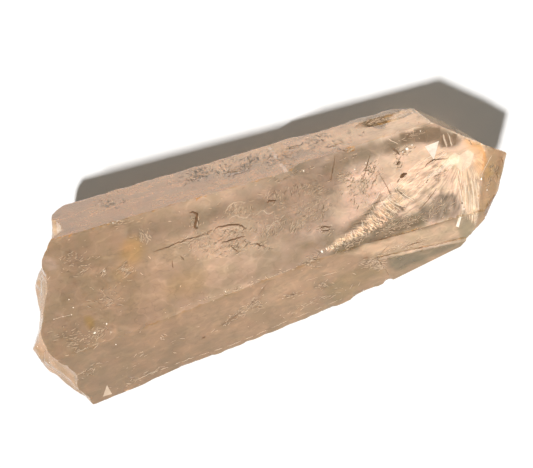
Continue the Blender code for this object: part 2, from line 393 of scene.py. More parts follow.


# How smoky or milky the quartz looks along each face, from the break to the point, as screen colours; the
# brighter colours towards the point are partly painted light
quartzZones = {
    # place along the crystal in millimetres, then the colour there
    "top": [(-60, (171, 142, 113)), (-35, (181, 151, 121)), (-12, (207, 178, 149)), (14, (168, 147, 124)),
            (32, (220, 194, 170)), (44, (236, 208, 182)), (60, (246, 221, 196))],
    "far": [(-60, (186, 152, 119)), (-35, (196, 163, 130)), (0, (201, 171, 143)), (24, (204, 174, 148)),
            (36, (232, 205, 179)), (50, (226, 200, 176))],
    "near": [(-60, (174, 145, 117)), (-30, (176, 147, 119)), (0, (188, 158, 130)), (22, (183, 156, 130)),
             (34, (192, 167, 142)), (52, (180, 158, 137))],
    "tip": [(-60, (190, 158, 124)), (45, (190, 160, 128)), (66, (188, 156, 122))],
    "bare": [(-60, (170, 138, 106)), (60, (196, 168, 142))],
    "chip": [(-60, (200, 172, 146)), (60, (226, 198, 172))],
    "tipFar": [(-60, (230, 206, 182)), (60, (230, 206, 182))],
    # what each face needs on top, for the light that it gets
    "strength": {"top": (0.87, 0.915, 1.0), "far": (0.92, 0.71, 0.38), "near": (0.86, 0.84, 0.75),
                 "tip": (0.62, 0.58, 0.53), "bare": (0.80, 0.78, 0.75), "chip": (0.60, 0.62, 0.66),
                 "tipFar": (1.0, 0.90, 0.80)},
    # and the same for its brightest colours
    "brightStrength": {"top": (0.89, 0.87, 0.87), "far": (0.98, 0.80, 0.56), "near": (0.86, 0.83, 0.76),
                       "tip": (0.58, 0.54, 0.52), "bare": (0.80, 0.78, 0.75), "chip": (0.68, 0.66, 0.66),
                       "tipFar": (1.0, 0.90, 0.80)},
    "brightFrom": 165,  # the mean screen level at which they begin to take over
    "brightSpan": 60,
    "stirSize": 3.2 * mm,  # the two noises that fray the edges of the areas and patches below
    "swaySize": 2.6 * mm,
    "stray": 2.6,  # pixels
    "margin": 4,  # pixels around an area that the fray may reach
    "patchCore": 1.6,  # above 1, a patch is flat in its middle
    # areas by their corners: softness in pixels, colour, how strongly it shows, corners
    "areas": {
        # painted dark reflections in a strip under the far edge near the point
        "darkStrip": (3.0, (160, 138, 114), 0.9, [
            (385, 141), (425, 128.5), (452, 132), (466, 141), (455, 147), (440, 145), (425, 145),
            (404, 148), (392, 153), (385, 154)]),
        "darkStripLeft": (5.0, (150, 131, 108), 0.8, [
            (330, 154), (362, 145.5), (396, 139), (394, 150), (372, 158), (345, 166), (325, 170)]),
        # painted shade under the far edge along the crystal
        "darkUnderFarEdge": (6.0, (156, 134, 110), 0.75, [
            (120, 230), (190, 211), (290, 186), (345, 160), (345, 172), (300, 200), (230, 216), (190, 233),
            (130, 244)]),
        # painted dark reflections near the point, and the dark ground between the cream bars there
        "darkBlocks": (1.6, (150, 126, 102), 0.95, [
            (400, 134), (425, 127.5), (441, 128), (441, 138.5), (426, 142.5), (414, 142), (402, 143.5)]),
        "barsGround": (1.2, (158, 130, 106), 0.9, [
            (440, 134), (456, 133.5), (458, 141), (452, 147.5), (441, 148.5)]),
        # painted highlight: the bright, burnt-out face of the point
        "brightFace": (3.0, (250, 222, 194), 0.95, [
            (446, 151), (466, 141), (484, 146), (487, 158), (480, 177), (478.5, 200), (476, 224),
            (467, 222), (462, 206), (459, 190), (452, 176), (436, 172), (436, 160)]),
        "milkyRise": (5.0, (244, 216, 190), 0.85, [
            (400, 150), (424, 144), (448, 150), (436, 166), (418, 182), (398, 192), (384, 178),
            (386, 160)]),
        "pinkMiddle": (6.0, (240, 210, 186), 0.8, [
            (345, 178), (368, 166), (388, 172), (394, 194), (378, 212), (352, 226), (338, 226),
            (330, 205)]),
        "featherGround": (4.0, (240, 214, 188), 0.85, [
            (385, 200), (412, 176), (440, 165), (452, 176), (458, 196), (440, 192), (424, 204), (408, 214),
            (392, 216)]),
        # painted shade: the hollow beside the feather and the band under it, where the shadowed floor shows
        # through
        "greyHollow": (3.5, (168, 148, 126), 0.95, [
            (422, 208), (440, 192), (456, 196), (460, 208), (453, 217), (436, 221), (418, 222)]),
        "greyUnder": (3.0, (150, 134, 108), 0.9, [
            (374, 226), (396, 219), (420, 213), (424, 224), (404, 232), (380, 240), (368, 236)]),
        "upperNear": (3.0, (236, 208, 180), 0.85, [
            (345, 255), (366, 244), (420, 230), (455, 221), (461, 236), (440, 241), (404, 250),
            (380, 255)]),
        # painted light and shade on the feather's tail: a painted highlight along its upper side, painted
        # shade along its lower side and the edge of its hollow
        "tailBright": (2.5, (255, 222, 188), 0.9, [
            (391, 200), (402, 194), (402, 210), (384, 224), (364, 235), (346, 242), (330, 251), (327, 248),
            (345, 237), (366, 222), (380, 210)]),
        "tailDark": (2.0, (140, 122, 98), 0.9, [
            (418, 219), (402, 225), (388, 231), (372, 237), (352, 243), (332, 252), (335, 254.5),
            (356, 248), (380, 241.5), (400, 235), (420, 226)]),
        "hollowEdge": (2.5, (146, 124, 100), 0.85, [
            (384, 196), (376, 208), (362, 222), (345, 234), (341, 232), (358, 218), (372, 204),
            (381, 194)]),
        # painted light at the point: an orange fringe of colour split by the quartz, and a peach glow
        "orangeRim": (1.8, (240, 166, 92), 0.95, [
            (466, 139.5), (474, 141), (482, 145.5), (487, 153), (487.5, 164), (483, 172), (481.5, 170),
            (484, 161), (483, 153), (477, 147), (470, 144)]),
        "peachGlow": (4.0, (250, 204, 156), 0.8, [
            (464, 140), (476, 141), (485, 149), (486, 166), (478, 176), (476, 164), (476, 154),
            (468, 148)]),
        "farCream": (4.0, (226, 197, 168), 0.75, [
            (188, 176), (212, 163), (250, 151), (286, 141), (288, 150), (252, 165), (214, 178),
            (192, 184)]),
        "farCreamRight": (3.0, (230, 202, 174), 0.7, [
            (292, 142), (312, 135), (334, 128), (336, 134), (312, 146), (296, 152)]),
        "farDarkOne": (3.0, (170, 142, 112), 0.7, [
            (184, 184), (206, 174), (216, 174), (212, 180), (190, 187)]),
        "farDarkTwo": (3.0, (172, 144, 116), 0.7, [
            (228, 174), (252, 165), (262, 165), (250, 172), (232, 178)]),
        "farDarkThree": (3.0, (174, 147, 119), 0.7, [
            (284, 158), (306, 148), (322, 146), (306, 155), (288, 163)]),
        "farGoldPatch": (4.0, (206, 168, 120), 0.7, [
            (86, 207), (104, 199), (130, 196), (132, 203), (108, 212), (90, 214)]),
        "farHighlightOne": (1.5, (226, 196, 166), 0.7, [
            (192, 178), (205, 171), (214, 168), (210, 174), (198, 181)]),
        "farHighlightTwo": (1.5, (228, 198, 168), 0.7, [
            (213, 170), (232, 163), (241, 161), (232, 168), (220, 173)]),
        "farHighlightThree": (1.5, (230, 200, 172), 0.7, [
            (254, 157), (275, 149), (287, 146), (280, 153), (262, 160)]),
        "farHighlightFour": (1.5, (232, 203, 175), 0.7, [
            (299, 147), (322, 137), (335, 133), (326, 141), (306, 150)]),
        "farHighlightFive": (1.5, (246, 220, 194), 0.8, [
            (336, 136), (352, 128), (374, 126), (366, 133), (346, 140)]),
        "veilOne": (2.0, (216, 188, 162), 0.7, [
            (293, 222), (300, 212), (312, 206), (318, 210), (308, 218), (298, 228)]),
        "veilTwo": (2.0, (222, 194, 168), 0.7, [(316, 205), (326, 196), (338, 193), (336, 203), (326, 210)]),
        "veilThree": (2.0, (226, 198, 172), 0.7, [(330, 216), (342, 207), (351, 211), (340, 222)]),
        "veilFour": (2.0, (210, 182, 156), 0.6, [(271, 226), (277, 220), (283, 226), (276, 233)]),
        "lowVeil": (2.5, (210, 182, 154), 0.6, [(218, 247), (230, 243), (246, 246), (240, 254), (226, 256)]),
        "nearVeil": (4.0, (206, 178, 152), 0.6, [
            (232, 312), (256, 294), (286, 280), (300, 282), (272, 300), (244, 318)]),
        # painted shade in the chip and a painted highlight on its right side
        "chipShade": (1.6, (158, 138, 108), 0.9, [
            (361, 116), (372, 114), (387, 118), (386, 127), (375, 128), (364, 125)]),
        "chipCream": (1.6, (244, 216, 190), 0.9, [
            (388, 127), (389, 117), (396, 112), (409, 110), (412, 114), (402, 121)]),
        "farEdgeShade": (1.6, (172, 150, 120), 0.8, [
            (330, 122), (362, 114), (392, 109), (404, 107), (398, 112), (366, 119), (334, 127)]),
        "pinkVeil": (6.0, (214, 188, 164), 0.7, [
            (292, 214), (312, 196), (338, 196), (340, 216), (322, 236), (298, 240)]),
        "greenBlotchOne": (3.0, (156, 136, 108), 0.7, [
            (266, 190), (276, 186), (281, 194), (275, 203), (268, 200)]),
        "greenBlotchTwo": (3.0, (158, 137, 110), 0.7, [(306, 186), (318, 184), (324, 190), (312, 195)]),
        "greenBlotchThree": (3.0, (158, 137, 109), 0.7, [(296, 246), (312, 240), (318, 246), (304, 252)]),
        "greenBlotchFour": (3.0, (150, 130, 102), 0.75, [
            (314, 284), (322, 280), (330, 284), (324, 291), (316, 289)]),
        "ledge": (3.5, (144, 132, 110), 0.9, [
            (386, 258), (404, 252.5), (440, 245), (458, 241), (450, 250), (430, 259), (403, 271),
            (388, 268)]),
        "ledgeRise": (1.5, (224, 200, 174), 0.95, [
            (381, 259.5), (404, 253.5), (440, 246.5), (466, 240.5), (466, 235.5), (440, 241.5), (404, 249),
            (381, 254)]),
        "ledgeFoot": (2.5, (186, 162, 136), 0.8, [
            (400, 270), (430, 257), (462, 243), (461, 248), (430, 262), (404, 275)]),
        "farPink": (3.0, (255, 230, 208), 0.95, [
            (388, 122), (396, 112), (409, 109), (421, 114), (428, 122), (404, 130), (386, 134)]),
        "farPale": (5.0, (244, 218, 192), 0.85, [
            (318, 150), (332, 132), (362, 127), (388, 134), (386, 139), (345, 146)]),
        "oliveChip": (2.0, (168, 148, 116), 0.85, [
            (352, 121), (372, 113.5), (398, 107.5), (400, 111), (388, 117), (386, 125), (374, 127),
            (362, 122)]),
        # painted light on the far band of the point, which the lamps barely reach
        "tipFarBand": (2.0, (255, 240, 222), 0.95, [
            (418, 112), (440, 118), (466, 132), (484, 144), (466, 139), (448, 127), (428, 122)]),
        "sliver": (2.0, (196, 162, 124), 0.9, [
            (487, 148), (507, 149), (498, 190), (484, 222), (478, 224), (481, 178), (488, 158)]),
        "sliverFoot": (2.5, (206, 176, 146), 0.8, [
            (479, 224), (488, 210), (482, 225), (466, 238), (466, 232)]),
        "tanFacet": (2.0, (188, 172, 146), 0.85, [
            (455.5, 219), (463, 208), (476, 226), (462, 244), (459, 232)]),
        "nearLight": (8.0, (196, 166, 139), 0.6, [
            (180, 318), (270, 284), (330, 262), (345, 266), (300, 292), (230, 322), (190, 336)]),
        "nearOlive": (4.0, (172, 148, 112), 0.75, [
            (322, 290), (345, 272), (372, 264), (384, 272), (362, 286), (336, 302)]),
        "dimMiddle": (10.0, (176, 150, 126), 0.7, [
            (262, 190), (345, 166), (340, 190), (325, 222), (285, 240), (258, 232)]),
        "dimNearEdge": (8.0, (174, 147, 121), 0.7, [
            (120, 318), (200, 288), (280, 262), (320, 246), (300, 262), (230, 288), (120, 332)]),
        "greyBase": (10.0, (166, 139, 110), 0.5, [
            (66, 250), (92, 240), (110, 262), (106, 318), (84, 340), (58, 345), (50, 300)]),
        "baseLeft": (6.0, (182, 154, 126), 0.5, [(40, 290), (60, 275), (60, 340), (38, 345)]),
    },
    # soft patches: at, half length and half width in millimetres, turn in degrees, colour, how strongly each
    # shows
    "patches": {
        # painted highlight: a burnt-out white spot near the point
        "hotSpot": ((453, 160), 2.8, 2.2, 0, (255, 240, 208), 1.0),
        # painted shade under the far edge
        "darkUnderEdge": ((290, 188), 20.0, 3.0, 16, (172, 146, 122), 0.6),
        "stainOne": ((132, 250), 5.0, 4.2, 60, (200, 158, 106), 0.75),
        "stainTwo": ((124, 272), 4.2, 3.4, 0, (180, 148, 108), 0.6),
        "stainThree": ((186, 284), 8.0, 4.4, 20, (190, 154, 114), 0.5),
        "stainFour": ((90, 322), 1.8, 2.4, 0, (168, 136, 84), 0.8),
        "stainFar": ((122, 207), 6.0, 2.6, 14, (206, 166, 122), 0.6),
        "paleWedge": ((58, 231), 1.9, 2.6, 30, (206, 174, 134), 0.8),
        "pinkBreak": ((48, 263), 1.8, 3.6, 60, (206, 176, 154), 0.7),
        "middleLight": ((234, 232), 4.6, 3.0, 10, (206, 178, 152), 0.6),
        "middleTan": ((236, 210), 4.0, 2.6, 10, (200, 172, 140), 0.5),
        "sliverGold": ((488, 172), 2.8, 1.5, 70, (206, 166, 112), 0.7),
        "sliverBrown": ((497, 165), 4.0, 1.0, 74, (170, 138, 104), 0.6),
    },
}


def linear(screen):
    return tuple((c / 255 / 12.92) if c < 10 else ((c / 255 + 0.055) / 1.055) ** 2.4 for c in screen)


# How far inside an area this pixel lies: 0 outside, 1 past its soft edge
def areaShare(px, py, corners, soft):
    inside, nearest = False, 1e9
    for (ax, ay), (bx, by) in zip(corners, corners[1:] + corners[:1]):
        if (ay > py) != (by > py) and px < (bx - ax) * (py - ay) / (by - ay) + ax:
            inside = not inside
        dx, dy = bx - ax, by - ay
        t = held(((px - ax) * dx + (py - ay) * dy) / (dx * dx + dy * dy))
        nearest = min(nearest, math.hypot(px - ax - dx * t, py - ay - dy * t))
    away = nearest if inside else -nearest
    share = held(0.5 + 0.5 * away / soft)
    return share * share * (3 - 2 * share)


def reachOf(corners, margin):
    xs, ys = zip(*corners)
    return min(xs) - margin, max(xs) + margin, min(ys) - margin, max(ys) + margin


def colourAlong(stops, along):
    for (x0, c0), (x1, c1) in zip(stops, stops[1:]):
        if along <= x1:
            return mixed(c0, c1, max(0.0, (along - x0) / (x1 - x0)))
    return list(stops[-1][1])


# The chip in the far edge: the pixels that it lies between, and how flat a face may lie there
chipPlace = {
    "left": 352,
    "right": 411,
    "foot": 128.5,
    "wallFoot": 127,  # of its wall, which faces the near side
    "flattest": 0.985,
    "slant": 0.12,
}


def inChip(facing, centre, cfg):
    px, py = pixelOf(centre)
    slanted = facing.z < cfg["flattest"] and abs(facing.x) > cfg["slant"]
    onFloor = cfg["left"] < px < cfg["right"] and py < cfg["foot"] and slanted
    return onFloor or (facing.y < 0 and py < cfg["wallFoot"])


# The stretch of the surface that a face belongs to, by the way it faces
def faceGroup(facing, centre):
    if facing.z > 0.05 and inChip(facing, centre, chipPlace):
        return "chip"
    if facing.x > 0.15 and facing.y > 0.3 and 0.0 < facing.z < 0.75:
        return "tipFar"
    if facing.x > 0.2 and facing.z > 0.0:
        return "tip" if facing.z < 0.86 else "top"
    if facing.x < -0.5 or facing.z < 0.2:
        return "bare"
    if facing.z > 0.93:
        return "top"
    return "far" if facing.y > 0 else "near"


def paintZones(piece, cfg):
    mesh = piece.data
    zones = mesh.color_attributes.new("quartzZone", "FLOAT_COLOR", "CORNER")
    cache = {}
    areas = [(reachOf(corners, soft + cfg["margin"]), soft, colour, strength, corners)
             for soft, colour, strength, corners in cfg["areas"].values()]

    def marked(place, screen):
        px, py = pixelOf(place)
        stir = noise.noise(place / cfg["stirSize"]) * cfg["stray"]
        sway = noise.noise(place / cfg["swaySize"] + Vector((7, 3, 1))) * cfg["stray"]
        for (left, right, high, low), soft, colour, strength, corners in areas:
            if left < px < right and high < py < low:
                fray = min(1.2, soft * 0.5)
                share = areaShare(px + stir * fray, py + sway * fray, corners, soft) * strength
                screen = mixed(screen, colour, share)
        for at, along, across, turn, colour, strength in cfg["patches"].values():
            share = ovalShare(px + stir, py + sway, at, along, across, turn)
            if share:
                screen = mixed(screen, colour, min(1.0, share * cfg["patchCore"]) * strength)
        return screen

    for face in mesh.polygons:
        group = faceGroup(face.normal, face.center)
        for corner in face.loop_indices:
            index = mesh.loops[corner].vertex_index
            key = (index, group)
            if key not in cache:
                place = mesh.vertices[index].co
                screen = colourAlong(cfg[group], place.x / mm)
                if face.normal.z > 0.05:
                    screen = marked(place, screen)
                bright = held((sum(screen) / 3 - cfg["brightFrom"]) / cfg["brightSpan"])
                gains = mixed(cfg["strength"][group], cfg["brightStrength"][group], bright)
                cache[key] = (*(min(1.0, c * gain) for c, gain in zip(linear(screen), gains)), 1.0)
            zones.data[corner].color = cache[key]


paintZones(crystalBody, quartzZones)
print("colour zones laid")

quartzLook = {
    "clear": 0.60,
    "breakClear": 0.22,  # the break is duller
    "dullest": 0.05,  # roughness
    "breakDullest": 0.5,
    "breakFacing": -0.4,  # faces turned away from the point more than this, past this end, are the break
    "breakEnd": -45.0 * mm,
    "ior": quartzIor,
    "glow": 0.3,  # how much of the milky share is light that has spread inside the quartz
    "glowReach": 4.0 * mm,
    "glowColour": (1.0, 0.75, 0.55),
    "absorption": (0.93, 0.80, 0.66),
    "absorptionDensity": 9.0,
    "cloudSize": 7.0 * mm,
    "cloudRange": (0.89, 1.10),
    "mottleSize": 1.3 * mm,
    "mottleRange": (0.90, 1.08),
    "striationSize": 1.1 * mm,
    "tintSize": 4.2 * mm,
    "greenTint": (0.92, 0.935, 0.90),
    "pinkTint": (1.09, 1.05, 1.05),
    "paleVeils": (4.6 * mm, 1.16, 0.03),  # size, strength, width
    "dimVeils": (3.1 * mm, 0.86, 0.022),
    "striationShare": 0.6,  # of the relief
    "relief": 0.10,
    "reliefHeight": 0.12 * mm,
    # cells per millimetre along and across, then the darkest and the lightest
    "fanGrain": (0.30, 1.25, 0.66, 1.26),
    "arcGrain": (1.9, 0.30, 0.50, 1.36),
}


def makeQuartz(name, clear, dullest, cfg):
    material = bpy.data.materials.new(name)
    material.use_nodes = True
    nodes, links = material.node_tree.nodes, material.node_tree.links
    shader = nodes["Principled BSDF"]
    place = nodes.new("ShaderNodeTexCoord")

    def noiseOf(size, detail, stretch=(1, 1, 1)):
        move = nodes.new("ShaderNodeMapping")
        move.inputs["Scale"].default_value = stretch
        links.new(place.outputs["Object"], move.inputs["Vector"])
        grain = nodes.new("ShaderNodeTexNoise")
        grain.inputs["Scale"].default_value = 1 / size
        grain.inputs["Detail"].default_value = detail
        links.new(move.outputs["Vector"], grain.inputs["Vector"])
        return grain.outputs["Fac"]

    def ranged(value, low, high, fromLow=0.3, fromHigh=0.7):
        fit = nodes.new("ShaderNodeMapRange")
        fit.inputs["From Min"].default_value = fromLow
        fit.inputs["From Max"].default_value = fromHigh
        fit.inputs["To Min"].default_value = low
        fit.inputs["To Max"].default_value = high
        links.new(value, fit.inputs["Value"])
        return fit.outputs["Result"]

    def times(a, b):
        product = nodes.new("ShaderNodeVectorMath")
        product.operation = "MULTIPLY"
        links.new(a, product.inputs[0])
        links.new(b, product.inputs[1])
        return product.outputs["Vector"]

    def flowing(name, along, across, low, high):
        flow = nodes.new("ShaderNodeAttribute")
        flow.attribute_name = name
        parts = nodes.new("ShaderNodeSeparateXYZ")
        links.new(flow.outputs["Vector"], parts.inputs["Vector"])
        move = nodes.new("ShaderNodeMapping")
        move.inputs["Scale"].default_value = (along, across, 0)
        links.new(flow.outputs["Vector"], move.inputs["Vector"])
        grain = nodes.new("ShaderNodeTexNoise")
        grain.inputs["Scale"].default_value = 1.0
        grain.inputs["Detail"].default_value = 3.0
        grain.inputs["Distortion"].default_value = 0.5
        links.new(move.outputs["Vector"], grain.inputs["Vector"])
        blend = nodes.new("ShaderNodeMix")
        blend.inputs["A"].default_value = 1.0
        links.new(parts.outputs["Z"], blend.inputs["Factor"])
        links.new(ranged(grain.outputs["Fac"], low, high, 0.36, 0.64), blend.inputs["B"])
        return blend.outputs["Result"]

    def veils(size, value, wide):
        away = nodes.new("ShaderNodeMath")
        away.operation = "SUBTRACT"
        links.new(noiseOf(size, 2.5, (0.6, 1, 1)), away.inputs[0])
        away.inputs[1].default_value = 0.5
        near = nodes.new("ShaderNodeMath")
        near.operation = "ABSOLUTE"
        links.new(away.outputs["Value"], near.inputs[0])
        return ranged(near.outputs["Value"], value, 1.0, 0.0, wide)

    cloud = noiseOf(cfg["cloudSize"], 5.0)
    mottle = noiseOf(cfg["mottleSize"], 6.0, (0.45, 1, 1))
    streak = noiseOf(cfg["striationSize"], 3.0, (1.0, 0.12, 0.12))
    zones = nodes.new("ShaderNodeAttribute")
    zones.attribute_name = "quartzZone"
    colour = times(zones.outputs["Color"], ranged(cloud, *cfg["cloudRange"]))
    colour = times(colour, ranged(mottle, *cfg["mottleRange"]))
    tints = nodes.new("ShaderNodeMix")
    tints.data_type = "RGBA"
    tints.inputs["A"].default_value = (*cfg["greenTint"], 1.0)
    tints.inputs["B"].default_value = (*cfg["pinkTint"], 1.0)
    links.new(ranged(noiseOf(cfg["tintSize"], 4.0), 0.0, 1.0, 0.4, 0.6), tints.inputs["Factor"])
    colour = times(colour, tints.outputs["Result"])
    colour = times(colour, veils(*cfg["paleVeils"]))
    colour = times(colour, veils(*cfg["dimVeils"]))
    colour = times(colour, flowing("fanGrain", *cfg["fanGrain"]))
    colour = times(colour, flowing("arcGrain", *cfg["arcGrain"]))
    links.new(colour, shader.inputs["Base Color"])
    links.new(ranged(mottle, dullest * 0.2, dullest, 0.45, 0.8), shader.inputs["Roughness"])
    heights = nodes.new("ShaderNodeMath")
    heights.operation = "MULTIPLY_ADD"
    links.new(streak, heights.inputs[0])
    heights.inputs[1].default_value = cfg["striationShare"]
    links.new(mottle, heights.inputs[2])
    relief = nodes.new("ShaderNodeBump")
    relief.inputs["Strength"].default_value = cfg["relief"]
    relief.inputs["Distance"].default_value = cfg["reliefHeight"]
    links.new(heights.outputs["Value"], relief.inputs["Height"])
    links.new(relief.outputs["Normal"], shader.inputs["Normal"])
    shader.inputs["IOR"].default_value = cfg["ior"]
    shader.inputs["Transmission Weight"].default_value = clear
    shader.inputs["Subsurface Weight"].default_value = cfg["glow"]
    shader.inputs["Subsurface Radius"].default_value = cfg["glowColour"]
    shader.inputs["Subsurface Scale"].default_value = cfg["glowReach"]
    volume = nodes.new("ShaderNodeVolumeAbsorption")
    volume.inputs["Color"].default_value = (*cfg["absorption"], 1.0)
    volume.inputs["Density"].default_value = cfg["absorptionDensity"]
    links.new(volume.outputs[0], nodes["Material Output"].inputs["Volume"])
    return material


def coverCrystal(mesh, cfg):
    mesh.materials.clear()
    mesh.materials.append(makeQuartz("paleSmokyQuartz", cfg["clear"], cfg["dullest"], cfg))
    mesh.materials.append(makeQuartz("brokenQuartz", cfg["breakClear"], cfg["breakDullest"], cfg))
    for face in mesh.polygons:
        broken = face.normal.x < cfg["breakFacing"] and face.center.x < cfg["breakEnd"]
        face.material_index = 1 if broken else 0


coverCrystal(crystalBody.data, quartzLook)
print("quartz finish made")

# The feathery healed fracture that runs up to the point
feather = {
    # at, and half the width there in pixels
    "spine": [(320, 252, 2.4), (335, 245.5, 3.6), (350, 237, 6.0), (365, 226, 9.5), (380, 213, 13.0),
              (395, 198, 14.5), (410, 184, 14.0), (428, 168, 11.0), (447, 153, 7.0)],
    "depth": (0.0, 0.5 * mm),  # at the upper and the lower side
    "arcs": 80,
    "fibres": 55,
    "hairs": 90,
    "flakes": 150,
    "edgeFlakes": 130,
    "sheetCells": (60, 14),  # along and across
    "sheetDepth": 0.25 * mm,
    "sheetStir": 0.2 * mm,
    "sheetStirSize": 0.9 * mm,
    "sheetThickness": 0.05 * mm,
    "seed": 11,
    "light": {"colour": (0.72, 0.61, 0.48), "shade": (0.56, 0.45, 0.34), "grain": 0.8 * mm, "roughness": 0.4},
    "dark": {"colour": (0.17, 0.12, 0.08), "shade": (0.10, 0.07, 0.045), "grain": 0.8 * mm, "roughness": 0.5},
    "sheet": {"colour": (0.93, 0.84, 0.73), "shade": (0.72, 0.58, 0.46), "grain": 1.6 * mm, "roughness": 0.5,
              "alpha": 0.45},
}

# Where the fine grain runs: fibres that fan out from the bright spot, and arcs across the feather
grainFlow = {
    "fanFrom": (462, 146),
    "fanBend": 0.0035,  # how much the fibres curve, for each pixel away from there
    "fanSoft": 7.0,
    "fanArea": [(470, 152), (450, 150), (428, 160), (405, 178), (388, 196), (372, 212), (356, 228),
                (352, 240), (376, 238), (398, 232), (420, 222), (455, 216), (468, 222), (478, 214),
                (482, 180), (484, 158)],
    "fanClear": 14,  # pixels around the bright spot with no fibres, and as many in which they begin
    "fanFibres": 14,  # for each radian
    "arcBulge": 5.0,  # millimetres
    "arcStep": 2.7,  # pixels for each step of the walk along the spine
    "arcEnd": (44, 14),  # the step at which the arcs end, and the steps in which they fade
    "arcsAway": 8,  # pixels from the bright spot
    "walkSteps": 60,
    "from": 310,  # pixels across the photograph that hold any grain
    "to": 495,
}


def layGrain(piece, cfg, spine):
    mesh = piece.data
    fan = mesh.attributes.new("fanGrain", "FLOAT_VECTOR", "POINT")
    arcs = mesh.attributes.new("arcGrain", "FLOAT_VECTOR", "POINT")
    steps = cfg["walkSteps"]
    lastStep, fading = cfg["arcEnd"]
    walk = smoothWalk(spine, steps)
    for v in mesh.vertices:
        if v.normal.z < 0.05:
            continue
        px, py = pixelOf(v.co)
        if px < cfg["from"] or px > cfg["to"]:
            continue
        dx, dy = px - cfg["fanFrom"][0], py - cfg["fanFrom"][1]
        away = math.hypot(dx, dy)
        turn = math.atan2(dy, -dx) + cfg["fanBend"] * away
        share = areaShare(px, py, cfg["fanArea"], cfg["fanSoft"])
        share *= held((away - cfg["fanClear"]) / cfg["fanClear"])
        fan.data[v.index].vector = (away / pixelsPerMm, turn * cfg["fanFibres"], share)
        near = min(range(steps), key=lambda k: (walk[k][0] - px)**2 + (walk[k][1] - py)**2)
        x, y, half = walk[near]
        ax, ay = walk[near + 1][0] - x, walk[near + 1][1] - y
        size = math.hypot(ax, ay)
        side = ((px - x) * -ay + (py - y) * ax) / size
        along = ((px - x) * ax + (py - y) * ay) / size
        s = side / half
        share = held((1.25 - abs(s)) / 0.4) * held((lastStep - near) / fading)
        bulge = cfg["arcBulge"] * s * s * half / 14
        flow = (near * cfg["arcStep"] + along) / pixelsPerMm + bulge
        arcs.data[v.index].vector = (flow, side / pixelsPerMm, share if away > cfg["arcsAway"] else 0.0)


def makeFeather(cfg):
    rng = random.Random(cfg["seed"])
    steps = 120
    walk = smoothWalk(cfg["spine"], steps)

    def placeOn(t, s):
        x = held(t) * steps
        k = min(int(x), steps - 1)
        px, py, half = mixed(walk[k], walk[k + 1], x - k)
        ax, ay = walk[k + 1][0] - walk[k][0], walk[k + 1][1] - walk[k][1]
        size = math.hypot(ax, ay)
        nx, ny = -ay / size, ax / size
        depth = between(*cfg["depth"], 0.5 + 0.5 * s)
        return px + nx * s * half, py + ny * s * half, depth

    light, dark = bmesh.new(), bmesh.new()
    for _ in range(cfg["arcs"]):
        t = rng.uniform(0.0, 0.66) ** 0.85
        start = rng.uniform(-1.0, 0.3)
        end = min(1.05, start + rng.uniform(0.35, 1.5))
        bulge = rng.uniform(0.01, 0.045)
        buried = rng.choice((0.0, 0.0, 1.0))
        shape = light if rng.random() < 0.68 else dark
        places = []
        for i in range(9):
            s = between(start, end, i / 8)
            px, py, depth = placeOn(t - bulge * (1 - s * s) + rng.uniform(-0.002, 0.002), s)
            places.append(seenAt(px, py, depth * buried))
        addSliver(shape, places, rng.uniform(0.08, 0.22) * mm)
    for _ in range(cfg["fibres"]):
        t = rng.uniform(0.48, 0.97)
        s = rng.uniform(-1.0, 0.95)
        reach = rng.uniform(0.03, 0.10)
        fan = rng.uniform(-0.25, 0.25)
        buried = rng.choice((0.0, 0.0, 1.0))
        shape = light if rng.random() < 0.72 else dark
        places = []
        for i in range(6):
            px, py, depth = placeOn(t + reach * i / 5, s * (1 + fan * i / 5) + rng.uniform(-0.02, 0.02))
            places.append(seenAt(px, py, depth * buried))
        addSliver(shape, places, rng.uniform(0.06, 0.15) * mm)
    for _ in range(cfg["hairs"]):
        t, start = rng.uniform(0.10, 0.62), rng.uniform(0.0, 0.7)
        reach, lean = rng.uniform(0.35, 0.8), rng.uniform(-0.02, 0.03)
        places = []
        for i in range(6):
            px, py, depth = placeOn(t + lean * i / 5, start + reach * i / 5)
            places.append(seenAt(px + rng.gauss(0, 0.2), py + rng.gauss(0, 0.2), 0.0))
        addSliver(dark, places, rng.uniform(0.07, 0.2) * mm)
    for _ in range(cfg["flakes"]):
        px, py, depth = placeOn(rng.uniform(0.0, 0.36), rng.uniform(-0.9, 0.9))
        shape = light if rng.random() < 0.6 else dark
        addFlake(shape, *seenAt(px, py, depth), rng.uniform(0.07, 0.22) * mm, rng)
    # dark flakes along the feather's lower edge: painted shade
    for _ in range(cfg["edgeFlakes"]):
        t = rng.uniform(0.25, 0.82)
        px, py, depth = placeOn(t, rng.uniform(0.8, 1.25))
        addFlake(dark, *seenAt(px, py, depth * 0.3), rng.uniform(0.08, 0.26) * mm, rng, stretch=1.4)
    sheet = bmesh.new()
    cellsLong, cellsWide = cfg["sheetCells"]
    upper, lower = [], []
    for i in range(cellsLong + 1):
        row = [seenAt(*placeOn(i / cellsLong, -0.95 + 1.9 * j / cellsWide))[0] for j in range(cellsWide + 1)]
        sunk = [cfg["sheetDepth"] + cfg["sheetStir"] * noise.noise(p / cfg["sheetStirSize"]) for p in row]
        upper.append([sheet.verts.new(p - Vector((0, 0, down))) for p, down in zip(row, sunk)])
    for row in upper:
        lower.append([sheet.verts.new(v.co - Vector((0, 0, cfg["sheetThickness"]))) for v in row])
    for i in range(cellsLong):
        for j in range(cellsWide):
            sheet.faces.new((upper[i][j], upper[i + 1][j], upper[i + 1][j + 1], upper[i][j + 1]))
            sheet.faces.new((lower[i][j], lower[i][j + 1], lower[i + 1][j + 1], lower[i + 1][j]))
    rim = [e for e in sheet.edges if len(e.link_faces) == 1]
    bmesh.ops.bridge_loops(sheet, edges=rim)
    finishInner(sheet, "featherSheet", innerFinish("milkyFracture", cfg["sheet"]))
    finishInner(light, "featherLight", innerFinish("whiteFracture", cfg["light"]))
    finishInner(dark, "featherDark", innerFinish("shadowedFracture", cfg["dark"]))


layGrain(crystalBody, grainFlow, feather["spine"])
makeFeather(feather)

